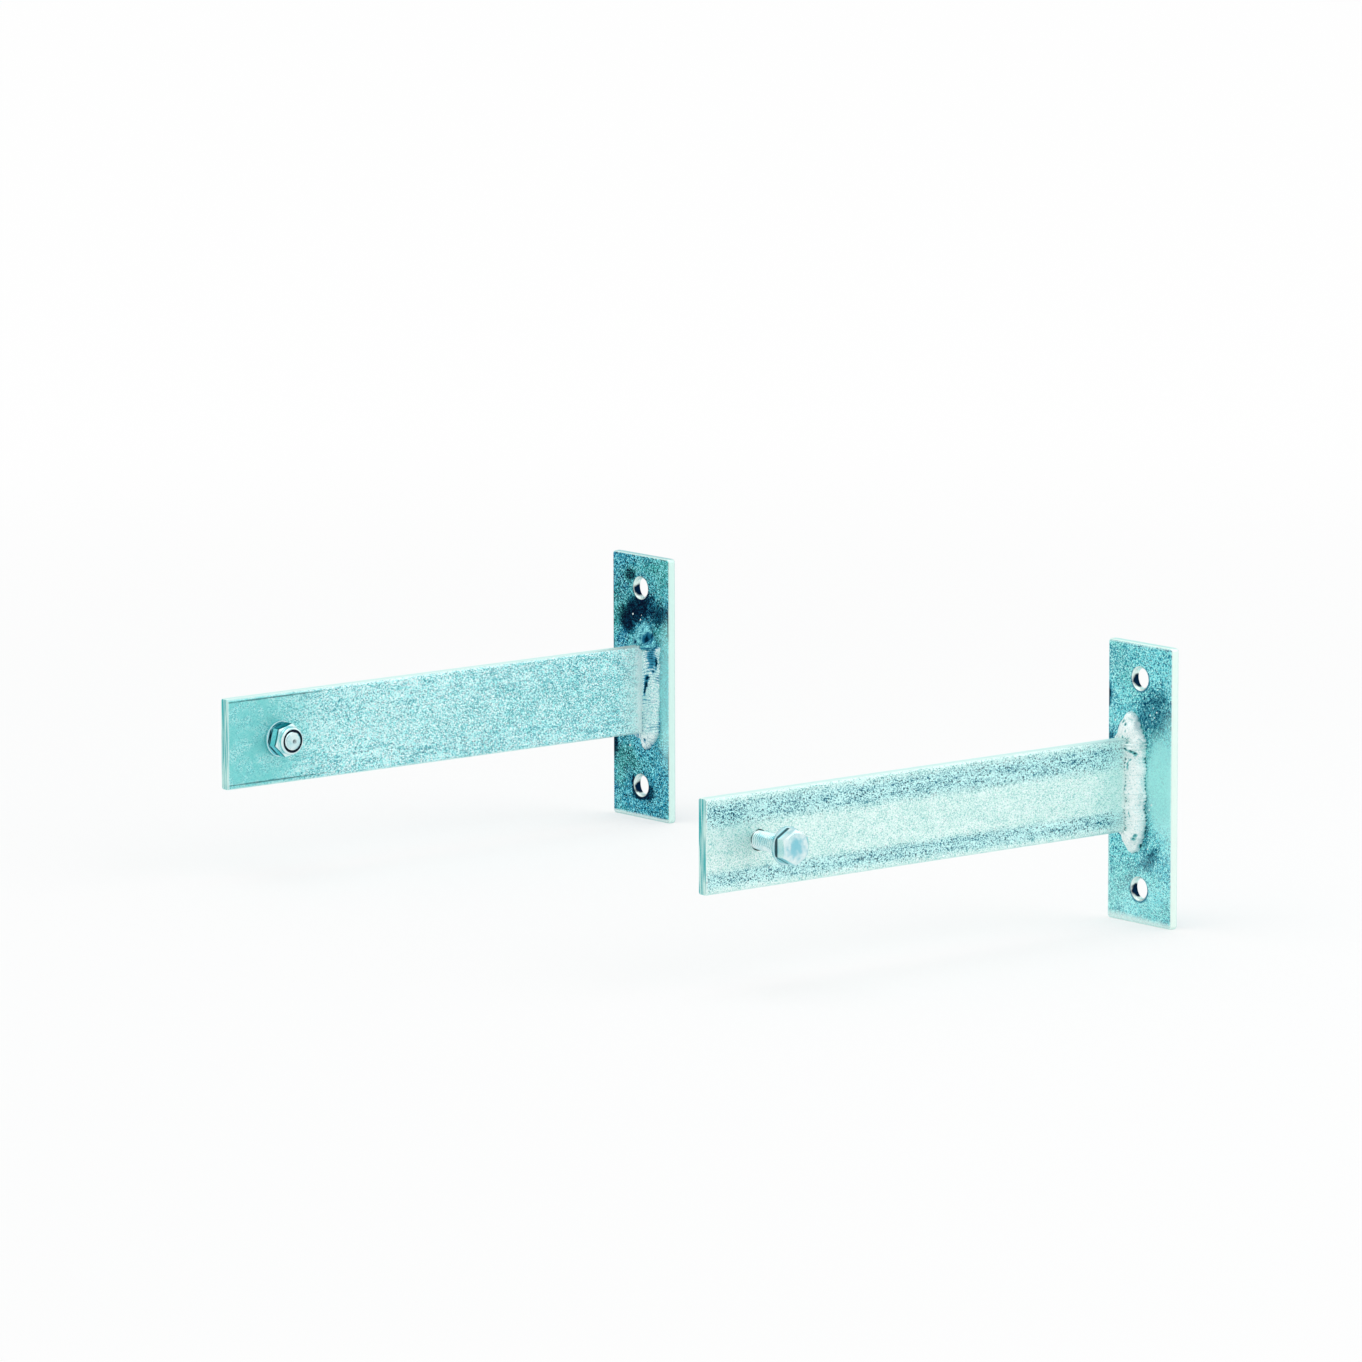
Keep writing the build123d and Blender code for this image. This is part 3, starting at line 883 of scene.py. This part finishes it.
RUNS = {
    "left": {
        "top": Run(
            seed=11,
            tint=0.35,
            toes=0.3,
            dents=((3.8, 23, 1.6, 2.2, 0.45), (-1.0, 21.4, 1.0, 0.8, 0.7)),
            reach=1.0,
            power=1.25,
            pitch=2.1,
            bulge=((0, 1.6),),
        ),
        "inner": Run(
            seed=12,
            tint=0.35,
            toes=0.35,
            dents=(
                (5.8, 14.6, 1.7, 4.6, 0.45),
                (7.8, 12.2, 0.4, 2.8, 0.6),
                (6.8, 8.4, 0.6, 0.9, 0.5),
                (4.4, 18.6, 0.5, 0.6, 0.7),
                (4.3, 5.4, 0.9, 1.5, 0.7),
                (3.9, 2.4, 0.65, 1.5, 0.8),
                (3.6, -0.6, 0.45, 1.6, 0.8),
                (3.4, -23.0, 0.5, 0.9, 0.6),
            ),
            reach=0.95,
            power=1.15,
            end=1.6,
            pitch=1.25,
            bulge=((-19, 2.2), (-10, 1.7), (-4, 1.4), (3, 1.0), (15, 1.0)),
            back=4.0,
            leg=1.25,
            toe=0.8,
        ),
        "outer": Run(
            seed=13,
            tint=0.25,
            toes=0.6,
            dents=((-5.0, 4, 1.2, 1.6, 0.4), (-4.6, -12, 1.0, 1.4, 0.4)),
        ),
    },
    "right": {
        "top": Run(
            seed=21,
            tint=0.1,
            toes=0.8,
            dents=(
                (0.6, 27.0, 0.5, 0.7, 0.7),
                (-1.0, 25.8, 0.4, 0.6, 0.7),
                (4.6, 21.5, 0.6, 2.0, 0.5),
                (-2.0, 23.0, 0.4, 0.8, 0.4),
                *BETWEEN_RUNS,
            ),
            reach=0.97,
            power=1.22,
            end=3.0,
            pitch=1.5,
            toe=1.2,
            notch=(52, 1.7, 16),
        ),
        "inner": Run(
            seed=22,
            tint=0.2,
            toes=0.8,
            dents=((5.0, 6, 1.2, 1.6, 0.4), (5.0, -8, 1.1, 1.3, 0.4)),
        ),
        "outer": Run(
            seed=23,
            tint=0.08,
            toes=1.2,
            dents=(
                *BETWEEN_RUNS,
                (-4.6, 11.0, 0.4, 0.5, 0.5),
                (-3.9, 9, 0.35, 2.4, 0.4),
                (-4.4, -12, 0.35, 2.4, 0.35),
                (-6.4, -21.4, 0.4, 0.8, 0.45),
                (-5.6, -23.0, 0.4, 0.5, 0.45),
            ),
            reach=1.1,
            power=1.7,
            end=1.6,
            back=2.6,
            toe=1.25,
        ),
    },
}
RUN_STEP = 0.25 * MM
SECTION_POINTS = 40


def weld_stops(side, run_name, welds):
    """Stops of a run round the arm's end: centre of the edge's rounding (inboard, up), and its angle."""
    radius = welds.edge_radius
    across = (ARM_HIGH.x - ARM_LOW.x) / 2 - radius
    up = (ARM_HIGH.z - ARM_LOW.z) / 2 - radius
    top_end = ARM_HIGH.z - own(welds, side, "run_end")
    side_end = top_end + welds.run_overlap
    right, half = math.pi / 2, math.pi
    if run_name == "top":
        rising = [(across, top_end, 0), (across, up, 0), (across, up, right)]
        return rising + [(-x, z, half - turn) for x, z, turn in reversed(rising)]
    inner = [(across, side_end, 0), (across, -up, 0), (across, -up, -right)]
    under = (across, -up, -0.95 * half)
    short = (-across / 2, -up, -right)
    inner.append(under if RUNS[side.name][run_name].back else short)
    if run_name == "inner":
        return inner
    return [(-x, z, half - turn) for x, z, turn in inner]


def bead_reach(run, tip_reach, welds, travel, path):
    """Reach of a bead on the plate and on the arm at each step, and the taper at its ends.

    On the plate it follows a superellipse round the run, so it is long at the tip and short at the sides.
    """
    across, _, turn = path.T
    radius = welds.edge_radius
    beyond = np.cos(turn) * np.sign(across) < -1e-6
    leg = np.where(beyond, run.back * MM, run.leg * welds.leg)
    sideways = np.abs(np.cos(turn)) / (radius + leg)
    endways = np.abs(np.sin(turn)) / (radius + tip_reach)
    reach = (sideways**run.power + endways**run.power) ** (-1 / run.power) - radius
    notch_at, notch_depth, notch_half = run.notch
    reach = reach - notch_depth * MM * np.exp(-(((np.degrees(turn) - notch_at) / notch_half) ** 2))
    line = travel[:, None]
    jagged = 0.02 * wander(line, 1.6 * MM, run.seed + 50)
    reach = reach * (1 + 0.05 * wander(line, 9 * MM, run.seed) + jagged)
    toe = run.toe * welds.toe * (1 + 0.05 * wander(line, 8 * MM, run.seed + 100) + jagged)
    to_end = np.minimum(travel, travel[-1] - travel) / (run.end * MM)
    taper = np.sqrt(1 - (1 - np.clip(to_end, 0.004, 1)) ** 2)
    return reach * taper, toe * taper, taper


def dent_depths(run, side, surface):
    """Depth of a run's dents at each point: the sum of bells over the inboard offset and the height."""
    inboard_offset = (surface[..., 0] - side.arm_x) * side.inboard
    depths = np.zeros(surface.shape[:2])
    for offset, height, half_width, half_height, depth in run.dents:
        off = (inboard_offset - offset * MM) / (half_width * MM)
        above = (surface[..., 2] - height * MM) / (half_height * MM)
        depths += depth * MM * np.exp(-(off**2) - above**2)
    return depths


def bead_hollow_shade(run, travel, theta, surface, dents, lumps, phase):
    """How much painted shade each point of a bead takes, from 0 to 1.

    Painted shade lies in dents, on low ground between the lumps and in troughs between the ripples, and is
    dotted along the toes and ends. These add up.
    """
    line = travel[:, None]
    low_ground = 0.12 * np.clip(-lumps, 0, 2)
    troughs = run.tint * np.clip(-np.cos(phase), 0, 1) ** 2
    at_toes = np.exp(-theta / 0.1) + np.exp((theta - np.pi / 2) / 0.1)
    grouped = 0.5 * wander(line, 6 * MM, run.seed + 700)
    dotted = np.clip(0.2 + 0.8 * wander(line, 1.4 * MM, run.seed + 500) + grouped, 0, 1.2)
    toes = run.toes * at_toes[None, :] * dotted[:, None]
    uneven = np.clip(0.6 + 0.5 * wander(surface, 1.5 * MM, run.seed + 600), 0, 1)
    at_ends = 0.8 * np.exp(-np.minimum(line, travel[-1] - line) / MM) * uneven
    return np.clip(dents / (0.7 * MM) + low_ground + troughs + toes + at_ends, 0, 1)


def weld_bead(side, run_name, welds, material):
    """A bead carried along its run.

    At each step the section is a quarter superellipse from the toe on the plate to the toe on the arm. The
    surface then moves along its normal by lumps, ripples whose crests bow backwards, fine roughness and the
    run's own dents. An attribute of the bead says how much painted shade each point takes.
    """
    run = RUNS[side.name][run_name]
    tip_reach = run.reach * (welds.rise if run_name == "top" else welds.drop)
    travel, path = walk(weld_stops(side, run_name, welds), RUN_STEP, welds.edge_radius + welds.leg / 2)
    reach, toe, taper = bead_reach(run, tip_reach, welds, travel, path)
    across, up, turn = path.T[:, :, None]
    theta = np.linspace(0, np.pi / 2, SECTION_POINTS)
    heights, roundness = np.array(run.bulge).T
    section_power = 2 / np.interp(up, heights * MM, roundness)
    out = reach[:, None] * np.clip(np.cos(theta), 0, 1) ** section_power
    on_arm = toe[:, None] * np.sin(theta) ** section_power

    def place(stand_off, depth):
        """Points in the model's frame from the distance off the arm and the distance off the plate."""
        from_middle = across + (welds.edge_radius + stand_off) * np.cos(turn)
        height = up + (welds.edge_radius + stand_off) * np.sin(turn)
        return np.stack([side.arm_x + side.inboard * from_middle, PLATE_FRONT - depth, height], axis=-1)

    surface = place(out, on_arm)
    normal = np.cross(np.gradient(surface, axis=0), np.gradient(surface, axis=1))
    normal /= np.linalg.norm(normal, axis=-1, keepdims=True) + 1e-12
    outward = place(out + MM, on_arm + MM) - surface
    normal *= np.sign((normal * outward).sum(axis=(0, 1, 2)))
    bow = np.abs(theta / (np.pi / 4) - 1) ** 1.4
    phase = 2 * np.pi * (travel[:, None] / (run.pitch * MM) - 0.8 * bow[None, :])
    phase = phase + 1.6 * wander(surface, 6 * MM, run.seed + 200)
    lumps = wander(surface, welds.lump_size, run.seed + 300)
    rough = welds.roughness * wander(surface, 1.1 * MM, run.seed + 400)
    dents = dent_depths(run, side, surface)
    ease_out = np.sin(2 * theta)[None, :] ** 0.6 * taper[:, None]
    raised = welds.lump_height * lumps + welds.ripple_height * np.cos(phase) + rough
    surface = surface + normal * ((raised - dents) * ease_out)[..., None]

    sunk = np.full_like(reach, -welds.sink)[:, None]
    near_toe, near_leg = toe[:, None] * 0.9, reach[:, None] * 0.9
    hidden = (place(sunk, near_toe), place(sunk, sunk), place(near_leg, sunk))
    rings = np.concatenate([surface, *hidden], axis=1)
    poles = place(sunk, sunk)[[0, -1], 0]
    sides, caps = shell_faces(*rings.shape[:2])
    bead = add_piece(
        f"{side.name}_{run_name}_bead",
        np.concatenate([rings.reshape(-1, 3), poles]),
        sides.tolist() + caps.tolist(),
        material,
        f"{side.name}_bracket",
        [f"{side.name}_{run_name}_weld"],
    )

    hollow_shade = np.zeros(rings.shape[:2])
    hollow_shade[:, :SECTION_POINTS] = bead_hollow_shade(run, travel, theta, surface, dents, lumps, phase)
    attribute = bead.data.attributes.new("hollow_shade", "FLOAT", "POINT")
    attribute.data.foreach_set("value", np.concatenate([hollow_shade.ravel(), [0, 0]]).astype(np.float32))
    return bead


def ball_points(rows, columns):
    """A unit ball as rings from pole to pole, with the two poles last."""
    polar = np.linspace(0, np.pi, rows + 2)[1:-1, None]
    turn = np.linspace(0, 2 * np.pi, columns, endpoint=False)[None, :]
    level = np.cos(polar) * np.ones_like(turn)
    rings = np.stack([np.sin(polar) * np.cos(turn), np.sin(polar) * np.sin(turn), level], axis=-1)
    return np.concatenate([rings.reshape(-1, 3), [(0, 0, 1), (0, 0, -1)]])


# Spatter that lies in the stains: millimetres from the arm's middle, and height
SPATTER_IN_STAIN = {
    "left": ((-9.3, 32.6), (-3.3, 32.7), (-3.9, 30.6)),
    "right": ((12.4, 33.5), (14.6, 31.8), (10.5, 30.2), (13.2, 29.4)),
}
SPATTER_SEEDS = {"left": 31, "right": 32}
FLATTENED = (1.0, 0.7, 1.0)


def weld_spatter(side, welds, material):
    """Small flattened balls, a third sunk into the plate, thrown round the weld at random."""
    rows, columns = 5, 10
    rng = np.random.default_rng(SPATTER_SEEDS[side.name])
    count = welds.spatter_count
    ball = ball_points(rows, columns)
    radius = welds.spatter_radius * rng.uniform(0.6, 1.35, size=(count, 1, 1))
    flank = rng.choice((-1.0, 1.0), size=count)
    across = flank * rng.uniform(9.5, 13, size=count) * MM
    height = rng.uniform(-30, 30, size=count) * MM
    in_stain = np.array(SPATTER_IN_STAIN[side.name]) * MM
    across[: len(in_stain)], height[: len(in_stain)] = in_stain.T
    centre = np.stack([side.arm_x + across, np.full(count, PLATE_FRONT), height], axis=-1)[:, None, :]
    centre[..., 1] -= radius[..., 0] * 0.2
    points = (centre + radius * ball * np.array(FLATTENED)).reshape(-1, 3)
    sides, caps = shell_faces(rows, columns)
    offsets = (np.arange(count) * len(ball))[:, None, None]
    faces = (sides + offsets).reshape(-1, 4).tolist() + (caps + offsets).reshape(-1, 3).tolist()
    return add_piece(
        f"{side.name}_weld_spatter", points, faces, material, f"{side.name}_bracket"
    )


BOLT_COLUMNS = 96
STEPS_PER_PITCH = 16
# Shares of half a pitch: the thread's flat root, and its flank
THREAD_ROOT = 0.15
THREAD_FLANK = 0.65
SHARP_ANGLE = math.radians(24)


def threaded_bolt(side, bolts, material):
    """A hexagon bolt as one turned shell: rings from the head's face to the tip, each a radius over the turn.

    On the head the radius is the hexagon's, half its width over the cosine of the angle off the nearest flat.
    The bevel of the face rises at 30 degrees. On the thread the radius follows a flat-topped V along a
    right-handed helix.
    """
    low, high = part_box(f"{side.name}_bolt")
    centre = middle(f"{side.name}_bolt")
    total = high.x - low.x
    turn = np.linspace(0, 2 * np.pi, BOLT_COLUMNS, endpoint=False)[None, :]
    sixth = np.pi / 3
    off_flat = (turn + sixth / 2) % sixth - sixth / 2
    hexagon = bolts.across_flats / 2 / np.cos(off_flat)
    face = bolts.across_flats / 2 - bolts.face_inset
    outer = bolts.diameter / 2
    level = np.ones_like(turn)
    head = [
        (0 * level, face * level),
        ((hexagon - face) * math.tan(math.pi / 6), hexagon),
        (bolts.head_height * level, hexagon),
        (bolts.head_height * level, (outer + bolts.fillet) * level),
    ]
    start = bolts.head_height + bolts.fillet
    axial = np.linspace(start, total, int((total - start) / (bolts.pitch / STEPS_PER_PITCH)))[:, None]
    phase = (axial / bolts.pitch - turn / (2 * np.pi)) % 1
    crest = np.clip((np.abs(phase - 0.5) * 2 - THREAD_ROOT) / THREAD_FLANK, 0, 1)
    run_in = np.clip((axial - start) / (2 * bolts.pitch), 0, 1)
    thread = outer - bolts.thread_depth * (1 - crest) * run_in
    bevel = outer - np.clip(axial - (total - bolts.tip_chamfer), 0, None)
    dimple = bolts.dimple_radius
    tip = [(total * level, dimple * level), ((total - dimple * 0.5) * level, dimple * 0.4 * level)]
    depths, radii = zip(*head, (axial * level, np.minimum(thread, bevel)), *tip)
    depth, radius = np.concatenate(depths), np.concatenate(radii)
    outboard = low.x if side.inboard > 0 else high.x
    points = np.stack(
        [
            outboard + side.inboard * depth,
            centre.y + side.inboard * radius * np.cos(turn),
            centre.z + radius * np.sin(turn),
        ],
        axis=-1,
    )
    floor_of_dimple = total - dimple * 0.7
    poles = [(outboard + side.inboard * x, centre.y, centre.z) for x in (0, floor_of_dimple)]
    sides, caps = shell_faces(*depth.shape)
    bolt = add_piece(
        f"{side.name}_threaded_bolt",
        np.concatenate([points.reshape(-1, 3), poles]),
        sides.tolist() + caps.tolist(),
        material,
        f"{side.name}_bolt",
        [f"{side.name}_bolt"],
    )
    sharpen_ends(bolt.data, outboard, bolts.head_height + bolts.fillet / 2, total - bolts.tip_chamfer / 2)
    return bolt


def sharpen_ends(mesh, outboard, head_end, tip_start):
    """Marks the hard edges of the head and the tip, and leaves the thread between them smooth."""
    mesh.set_sharp_from_angle(angle=SHARP_ANGLE)
    ends = np.empty(len(mesh.edges) * 2, dtype=np.int32)
    mesh.edges.foreach_get("vertices", ends)
    coordinates = np.empty(len(mesh.vertices) * 3, dtype=np.float32)
    mesh.vertices.foreach_get("co", coordinates)
    depth = np.abs(coordinates[::3] - outboard)[ends].reshape(-1, 2).mean(axis=1)
    sharp = np.empty(len(mesh.edges), dtype=bool)
    marks = mesh.attributes["sharp_edge"].data
    marks.foreach_get("value", sharp)
    marks.foreach_set("value", sharp & ((depth < head_end) | (depth > tip_start)))


# Stage

# Lamps: where they stand from the middle of the brackets, and their size
KEY_LAMP = ((1.6, 1.0, 0.9), 2.8)
TOP_LAMP = ((-0.3, -0.3, 2.2), 1.6)
FLOOR_RINGS = (0.5, 2.0, 8.0, 40.0)
FLOOR_COLUMNS = 64
# The floor's glow near the brackets and far from them, and the distances at which it begins and ends to grow
NEAR_GLOW = 0.5
FAR_GLOW = 0.97
GLOW_START = 0.3
GLOW_END = 1.6
SENSOR_WIDTH = 36.0


def background_rays(tree):
    """1 for what the camera, reflections and glass show, and 0 for light on matt surfaces."""
    rays = node(tree, "ShaderNodeLightPath").node.outputs
    return widest(tree, [rays[f"Is {kind} Ray"] for kind in ("Camera", "Glossy", "Transmission")])


def studio_world(stage):
    """White to the camera, to reflections and through glass; a plain level of light on matt surfaces."""
    world = bpy.data.worlds.new("studio")
    bpy.context.scene.world = world
    world.use_nodes = True
    tree = world.node_tree
    background = tree.nodes["Background"].inputs
    background["Color"].default_value = (1, 1, 1, 1)
    strength = calc(tree, "MULTIPLY_ADD", background_rays(tree), 1 - stage.ambient, stage.ambient)
    tree.links.new(strength, background["Strength"])


def floor_material(stage):
    """Matt pale floor that shows the soft shadow under the brackets.

    To the camera and to reflections it also glows: by half near the brackets, and almost fully far from them.
    """
    material = bpy.data.materials.new("pale floor")
    material.use_nodes = True
    tree = material.node_tree
    shader = tree.nodes["Principled BSDF"]
    shader.inputs["Base Color"].default_value = as_colour(stage.floor)
    shader.inputs["Roughness"].default_value = 1.0
    shader.inputs["Specular IOR Level"].default_value = 0.0
    glow = node(tree, "ShaderNodeEmission", {"Color": (1, 1, 1, 1), "Strength": 1.0})
    distance = vector_calc(tree, "DISTANCE", places(tree), MIDDLE, output="Value")
    away = ease(tree, distance, GLOW_START, GLOW_END)
    by_distance = calc(tree, "MULTIPLY_ADD", away, FAR_GLOW - NEAR_GLOW, NEAR_GLOW)
    glowing = calc(tree, "MULTIPLY", background_rays(tree), by_distance)
    mixed = node(tree, "ShaderNodeMixShader", {0: glowing, 1: shader.outputs[0], 2: glow})
    tree.links.new(mixed, tree.nodes["Material Output"].inputs["Surface"])
    return material


def add_floor(stage):
    """A wide round floor: rings of points about the middle of the brackets."""
    turn = np.linspace(0, 2 * np.pi, FLOOR_COLUMNS, endpoint=False)
    reach = np.array(FLOOR_RINGS)[:, None]
    x, y = MIDDLE.x + reach * np.cos(turn), MIDDLE.y + reach * np.sin(turn)
    rings = np.stack([x, y, np.full_like(x, cad_box[0].z)], axis=-1)
    ring = np.arange(x.size).reshape(x.shape)
    ahead = np.roll(ring, -1, axis=1)
    faces = np.stack([ring[:-1], ring[1:], ahead[1:], ahead[:-1]], axis=-1).reshape(-1, 4).tolist()
    mesh = bpy.data.meshes.new("floor")
    mesh.from_pydata(rings.reshape(-1, 3).tolist(), [], faces + [ring[0].tolist()])
    mesh.materials.append(floor_material(stage))
    floor = bpy.data.objects.new("floor", mesh)
    bpy.context.scene.collection.objects.link(floor)


def add_lamp(name, offset, size, watts):
    """A square lamp that faces the middle of the brackets."""
    lamp = bpy.data.lights.new(name, "AREA")
    lamp.energy = watts
    lamp.size = size
    holder = bpy.data.objects.new(name, lamp)
    holder.location = MIDDLE + Vector(offset)
    holder.rotation_euler = (-Vector(offset)).to_track_quat("-Z", "Y").to_euler()
    bpy.context.scene.collection.objects.link(holder)


def add_camera(stage):
    """The view of the photograph: a long lens, turned, tilted and rolled."""
    lens = bpy.data.cameras.new("camera")
    lens.lens = stage.focal_length
    lens.sensor_width = SENSOR_WIDTH
    camera = bpy.data.objects.new("camera", lens)
    turn = Matrix.Rotation(stage.azimuth, 4, "Z")
    tilt = Matrix.Rotation(math.pi / 2 - stage.elevation, 4, "X")
    roll = Matrix.Rotation(stage.roll, 4, "Z")
    camera.matrix_world = Matrix.Translation(stage.camera_place) @ turn @ tilt @ roll
    bpy.context.scene.collection.objects.link(camera)
    bpy.context.scene.camera = camera


# Operators


class BracketOperator:
    """What the bracket operators share"""

    bl_options = {"REGISTER", "UNDO"}


class BRACKET_OT_plates(BracketOperator, bpy.types.Operator):
    """Give the wall plates their stained zinc finish"""

    bl_idname = "bracket.finish_plates"
    bl_label = "Finish Plates"

    def execute(self, context):
        for side in SIDES:
            give(f"{side.name}_wall_plate", plate_material(side, context.scene.bracket_zinc))
        return {"FINISHED"}


class BRACKET_OT_arms(BracketOperator, bpy.types.Operator):
    """Give the arms their sandy zinc finish"""

    bl_idname = "bracket.finish_arms"
    bl_label = "Finish Arms"

    def execute(self, context):
        for side in SIDES:
            give(f"{side.name}_arm", arm_material(side, context.scene.bracket_zinc))
        return {"FINISHED"}


class BRACKET_OT_welds(BracketOperator, bpy.types.Operator):
    """Lay the weld beads round both arms, and their spatter"""

    bl_idname = "bracket.lay_welds"
    bl_label = "Lay Welds"

    def execute(self, context):
        zinc = context.scene.bracket_zinc
        welds = context.scene.bracket_welds
        pale = weld_material("pale weld", zinc, zinc.bead, zinc.bead_shade, zinc.arm_fleck, 0.3)
        teal = weld_material("teal weld", zinc, zinc.bead_teal, zinc.bead_teal_shade, zinc.arm_fleck, 0.45)
        # The top bead on the left is darker by painted shade
        blue = weld_material("blue weld", zinc, zinc.bead_blue, zinc.bead_blue_shade, zinc.left_fleck, 0.6)
        finishes = {
            "left": {"top": blue, "inner": teal, "outer": teal},
            "right": dict.fromkeys(RUNS["right"], pale),
        }
        for side in SIDES:
            for run_name, material in finishes[side.name].items():
                weld_bead(side, run_name, welds, material)
            weld_spatter(side, welds, pale)
        return {"FINISHED"}


class BRACKET_OT_bolts(BracketOperator, bpy.types.Operator):
    """Cut the bolts with their hexagon heads and threads"""

    bl_idname = "bracket.cut_bolts"
    bl_label = "Cut Bolts"

    def execute(self, context):
        zinc = context.scene.bracket_zinc
        bolts = context.scene.bracket_bolts
        for side in SIDES:
            low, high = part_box(f"{side.name}_bolt")
            face, tip = (low.x, high.x) if side.inboard > 0 else (high.x, low.x)
            under_head = face + side.inboard * bolts.head_height
            # Tints: a blue cast on the head's face, painted shade under the head, and painted shade in the
            # end's dimple
            tints = (
                Tint(face, 0.3 * MM, 4.0 * MM, zinc.fastener_blue, 0.8, 0.7, 2.6),
                Tint(under_head, 0.9 * MM, WIDE, zinc.fastener_dark, 0.9, 0.4, 0.3, ROUND_ABOUT),
                Tint(tip, 1.5 * MM, 0.9 * MM, zinc.fastener_dark, 0.7, 0.6),
            )
            material = fastener_material(f"{side.name} bolt zinc", zinc, zinc.fastener, tints)
            threaded_bolt(side, bolts, material)
        return {"FINISHED"}


class BRACKET_OT_nuts(BracketOperator, bpy.types.Operator):
    """Give the nuts, washers and locking inserts their finish"""

    bl_idname = "bracket.finish_nuts"
    bl_label = "Finish Nuts and Washers"

    def execute(self, context):
        zinc = context.scene.bracket_zinc
        washer = fastener_material("washer zinc", zinc, zinc.washer)
        nylon = nylon_material(zinc)
        half_hex = NUT_HEX_HEIGHT / 2
        for side in SIDES:
            seat = side.arm_x + side.inboard * NUT_SEAT
            hex_middle = seat + side.inboard * half_hex
            hex_top = seat + side.inboard * (NUT_HEX_HEIGHT - NUT_BEVEL)
            # Tints: painted reflections on the flats, darker on the upper flat, and painted shade at the seat
            # and top
            tints = (
                Tint(hex_middle, half_hex, WIDE, zinc.fastener_flat_reflection, 0.9, 0.12, 0.2, ROUND_ABOUT),
                Tint(hex_middle, half_hex, WIDE, zinc.fastener_top, 0.95, 0.12, 0.2, UPPER_FLAT),
                Tint(seat, 1.0 * MM, WIDE, zinc.fastener_dark, 1.0, 0.4, 0.3, ROUND_ABOUT),
                Tint(hex_top, 0.45 * MM, WIDE, zinc.fastener_dark, 0.8, 0.4, 0.3, ROUND_ABOUT),
            )
            nut = fastener_material(f"{side.name} nut zinc", zinc, zinc.fastener, tints)
            give(f"{side.name}_lock_nut", nut)
            give(f"{side.name}_head_washer", washer)
            give(f"{side.name}_nut_washer", washer)
            give(f"{side.name}_nylon_insert", nylon)
        return {"FINISHED"}


class BRACKET_OT_stage(BracketOperator, bpy.types.Operator):
    """Set the floor, the soft studio light and the camera"""

    bl_idname = "bracket.set_stage"
    bl_label = "Set Stage"

    def execute(self, context):
        stage = context.scene.bracket_stage
        context.scene.view_settings.view_transform = "Standard"
        studio_world(stage)
        add_floor(stage)
        add_lamp("key lamp", *KEY_LAMP, stage.key_power)
        add_lamp("top lamp", *TOP_LAMP, stage.top_power)
        add_camera(stage)
        return {"FINISHED"}


class BRACKET_PT_panel(bpy.types.Panel):
    """Steps and sizes of the bracket pair"""

    bl_idname = "BRACKET_PT_panel"
    bl_label = "Wall Brackets"
    bl_space_type = "VIEW_3D"
    bl_region_type = "UI"
    bl_category = "Bracket"

    def draw(self, context):
        for step in OPERATORS:
            self.layout.operator(step.bl_idname)
        for attribute in PROPERTY_GROUPS:
            group = getattr(context.scene, attribute)
            box = self.layout.box()
            box.label(text=attribute.replace("_", " ").capitalize())
            for name in group.bl_rna.properties.keys():
                if name not in ("rna_type", "name"):
                    box.prop(group, name)


PROPERTY_GROUPS = {
    "bracket_zinc": BracketZinc,
    "bracket_welds": BracketWelds,
    "bracket_bolts": BracketBolts,
    "bracket_stage": BracketStage,
}
OPERATORS = (
    BRACKET_OT_plates,
    BRACKET_OT_arms,
    BRACKET_OT_welds,
    BRACKET_OT_bolts,
    BRACKET_OT_nuts,
    BRACKET_OT_stage,
)
CLASSES = (*PROPERTY_GROUPS.values(), *OPERATORS, BRACKET_PT_panel)


def register():
    for made in CLASSES:
        bpy.utils.register_class(made)
    for attribute, group in PROPERTY_GROUPS.items():
        setattr(bpy.types.Scene, attribute, PointerProperty(type=group))


def unregister():
    for attribute in PROPERTY_GROUPS:
        delattr(bpy.types.Scene, attribute)
    for made in reversed(CLASSES):
        bpy.utils.unregister_class(made)


def main():
    register()
    bpy.ops.bracket.finish_plates()
    bpy.ops.bracket.finish_arms()
    bpy.ops.bracket.lay_welds()
    bpy.ops.bracket.cut_bolts()
    bpy.ops.bracket.finish_nuts()
    bpy.ops.bracket.set_stage()


if __name__ == "__main__":
    main()
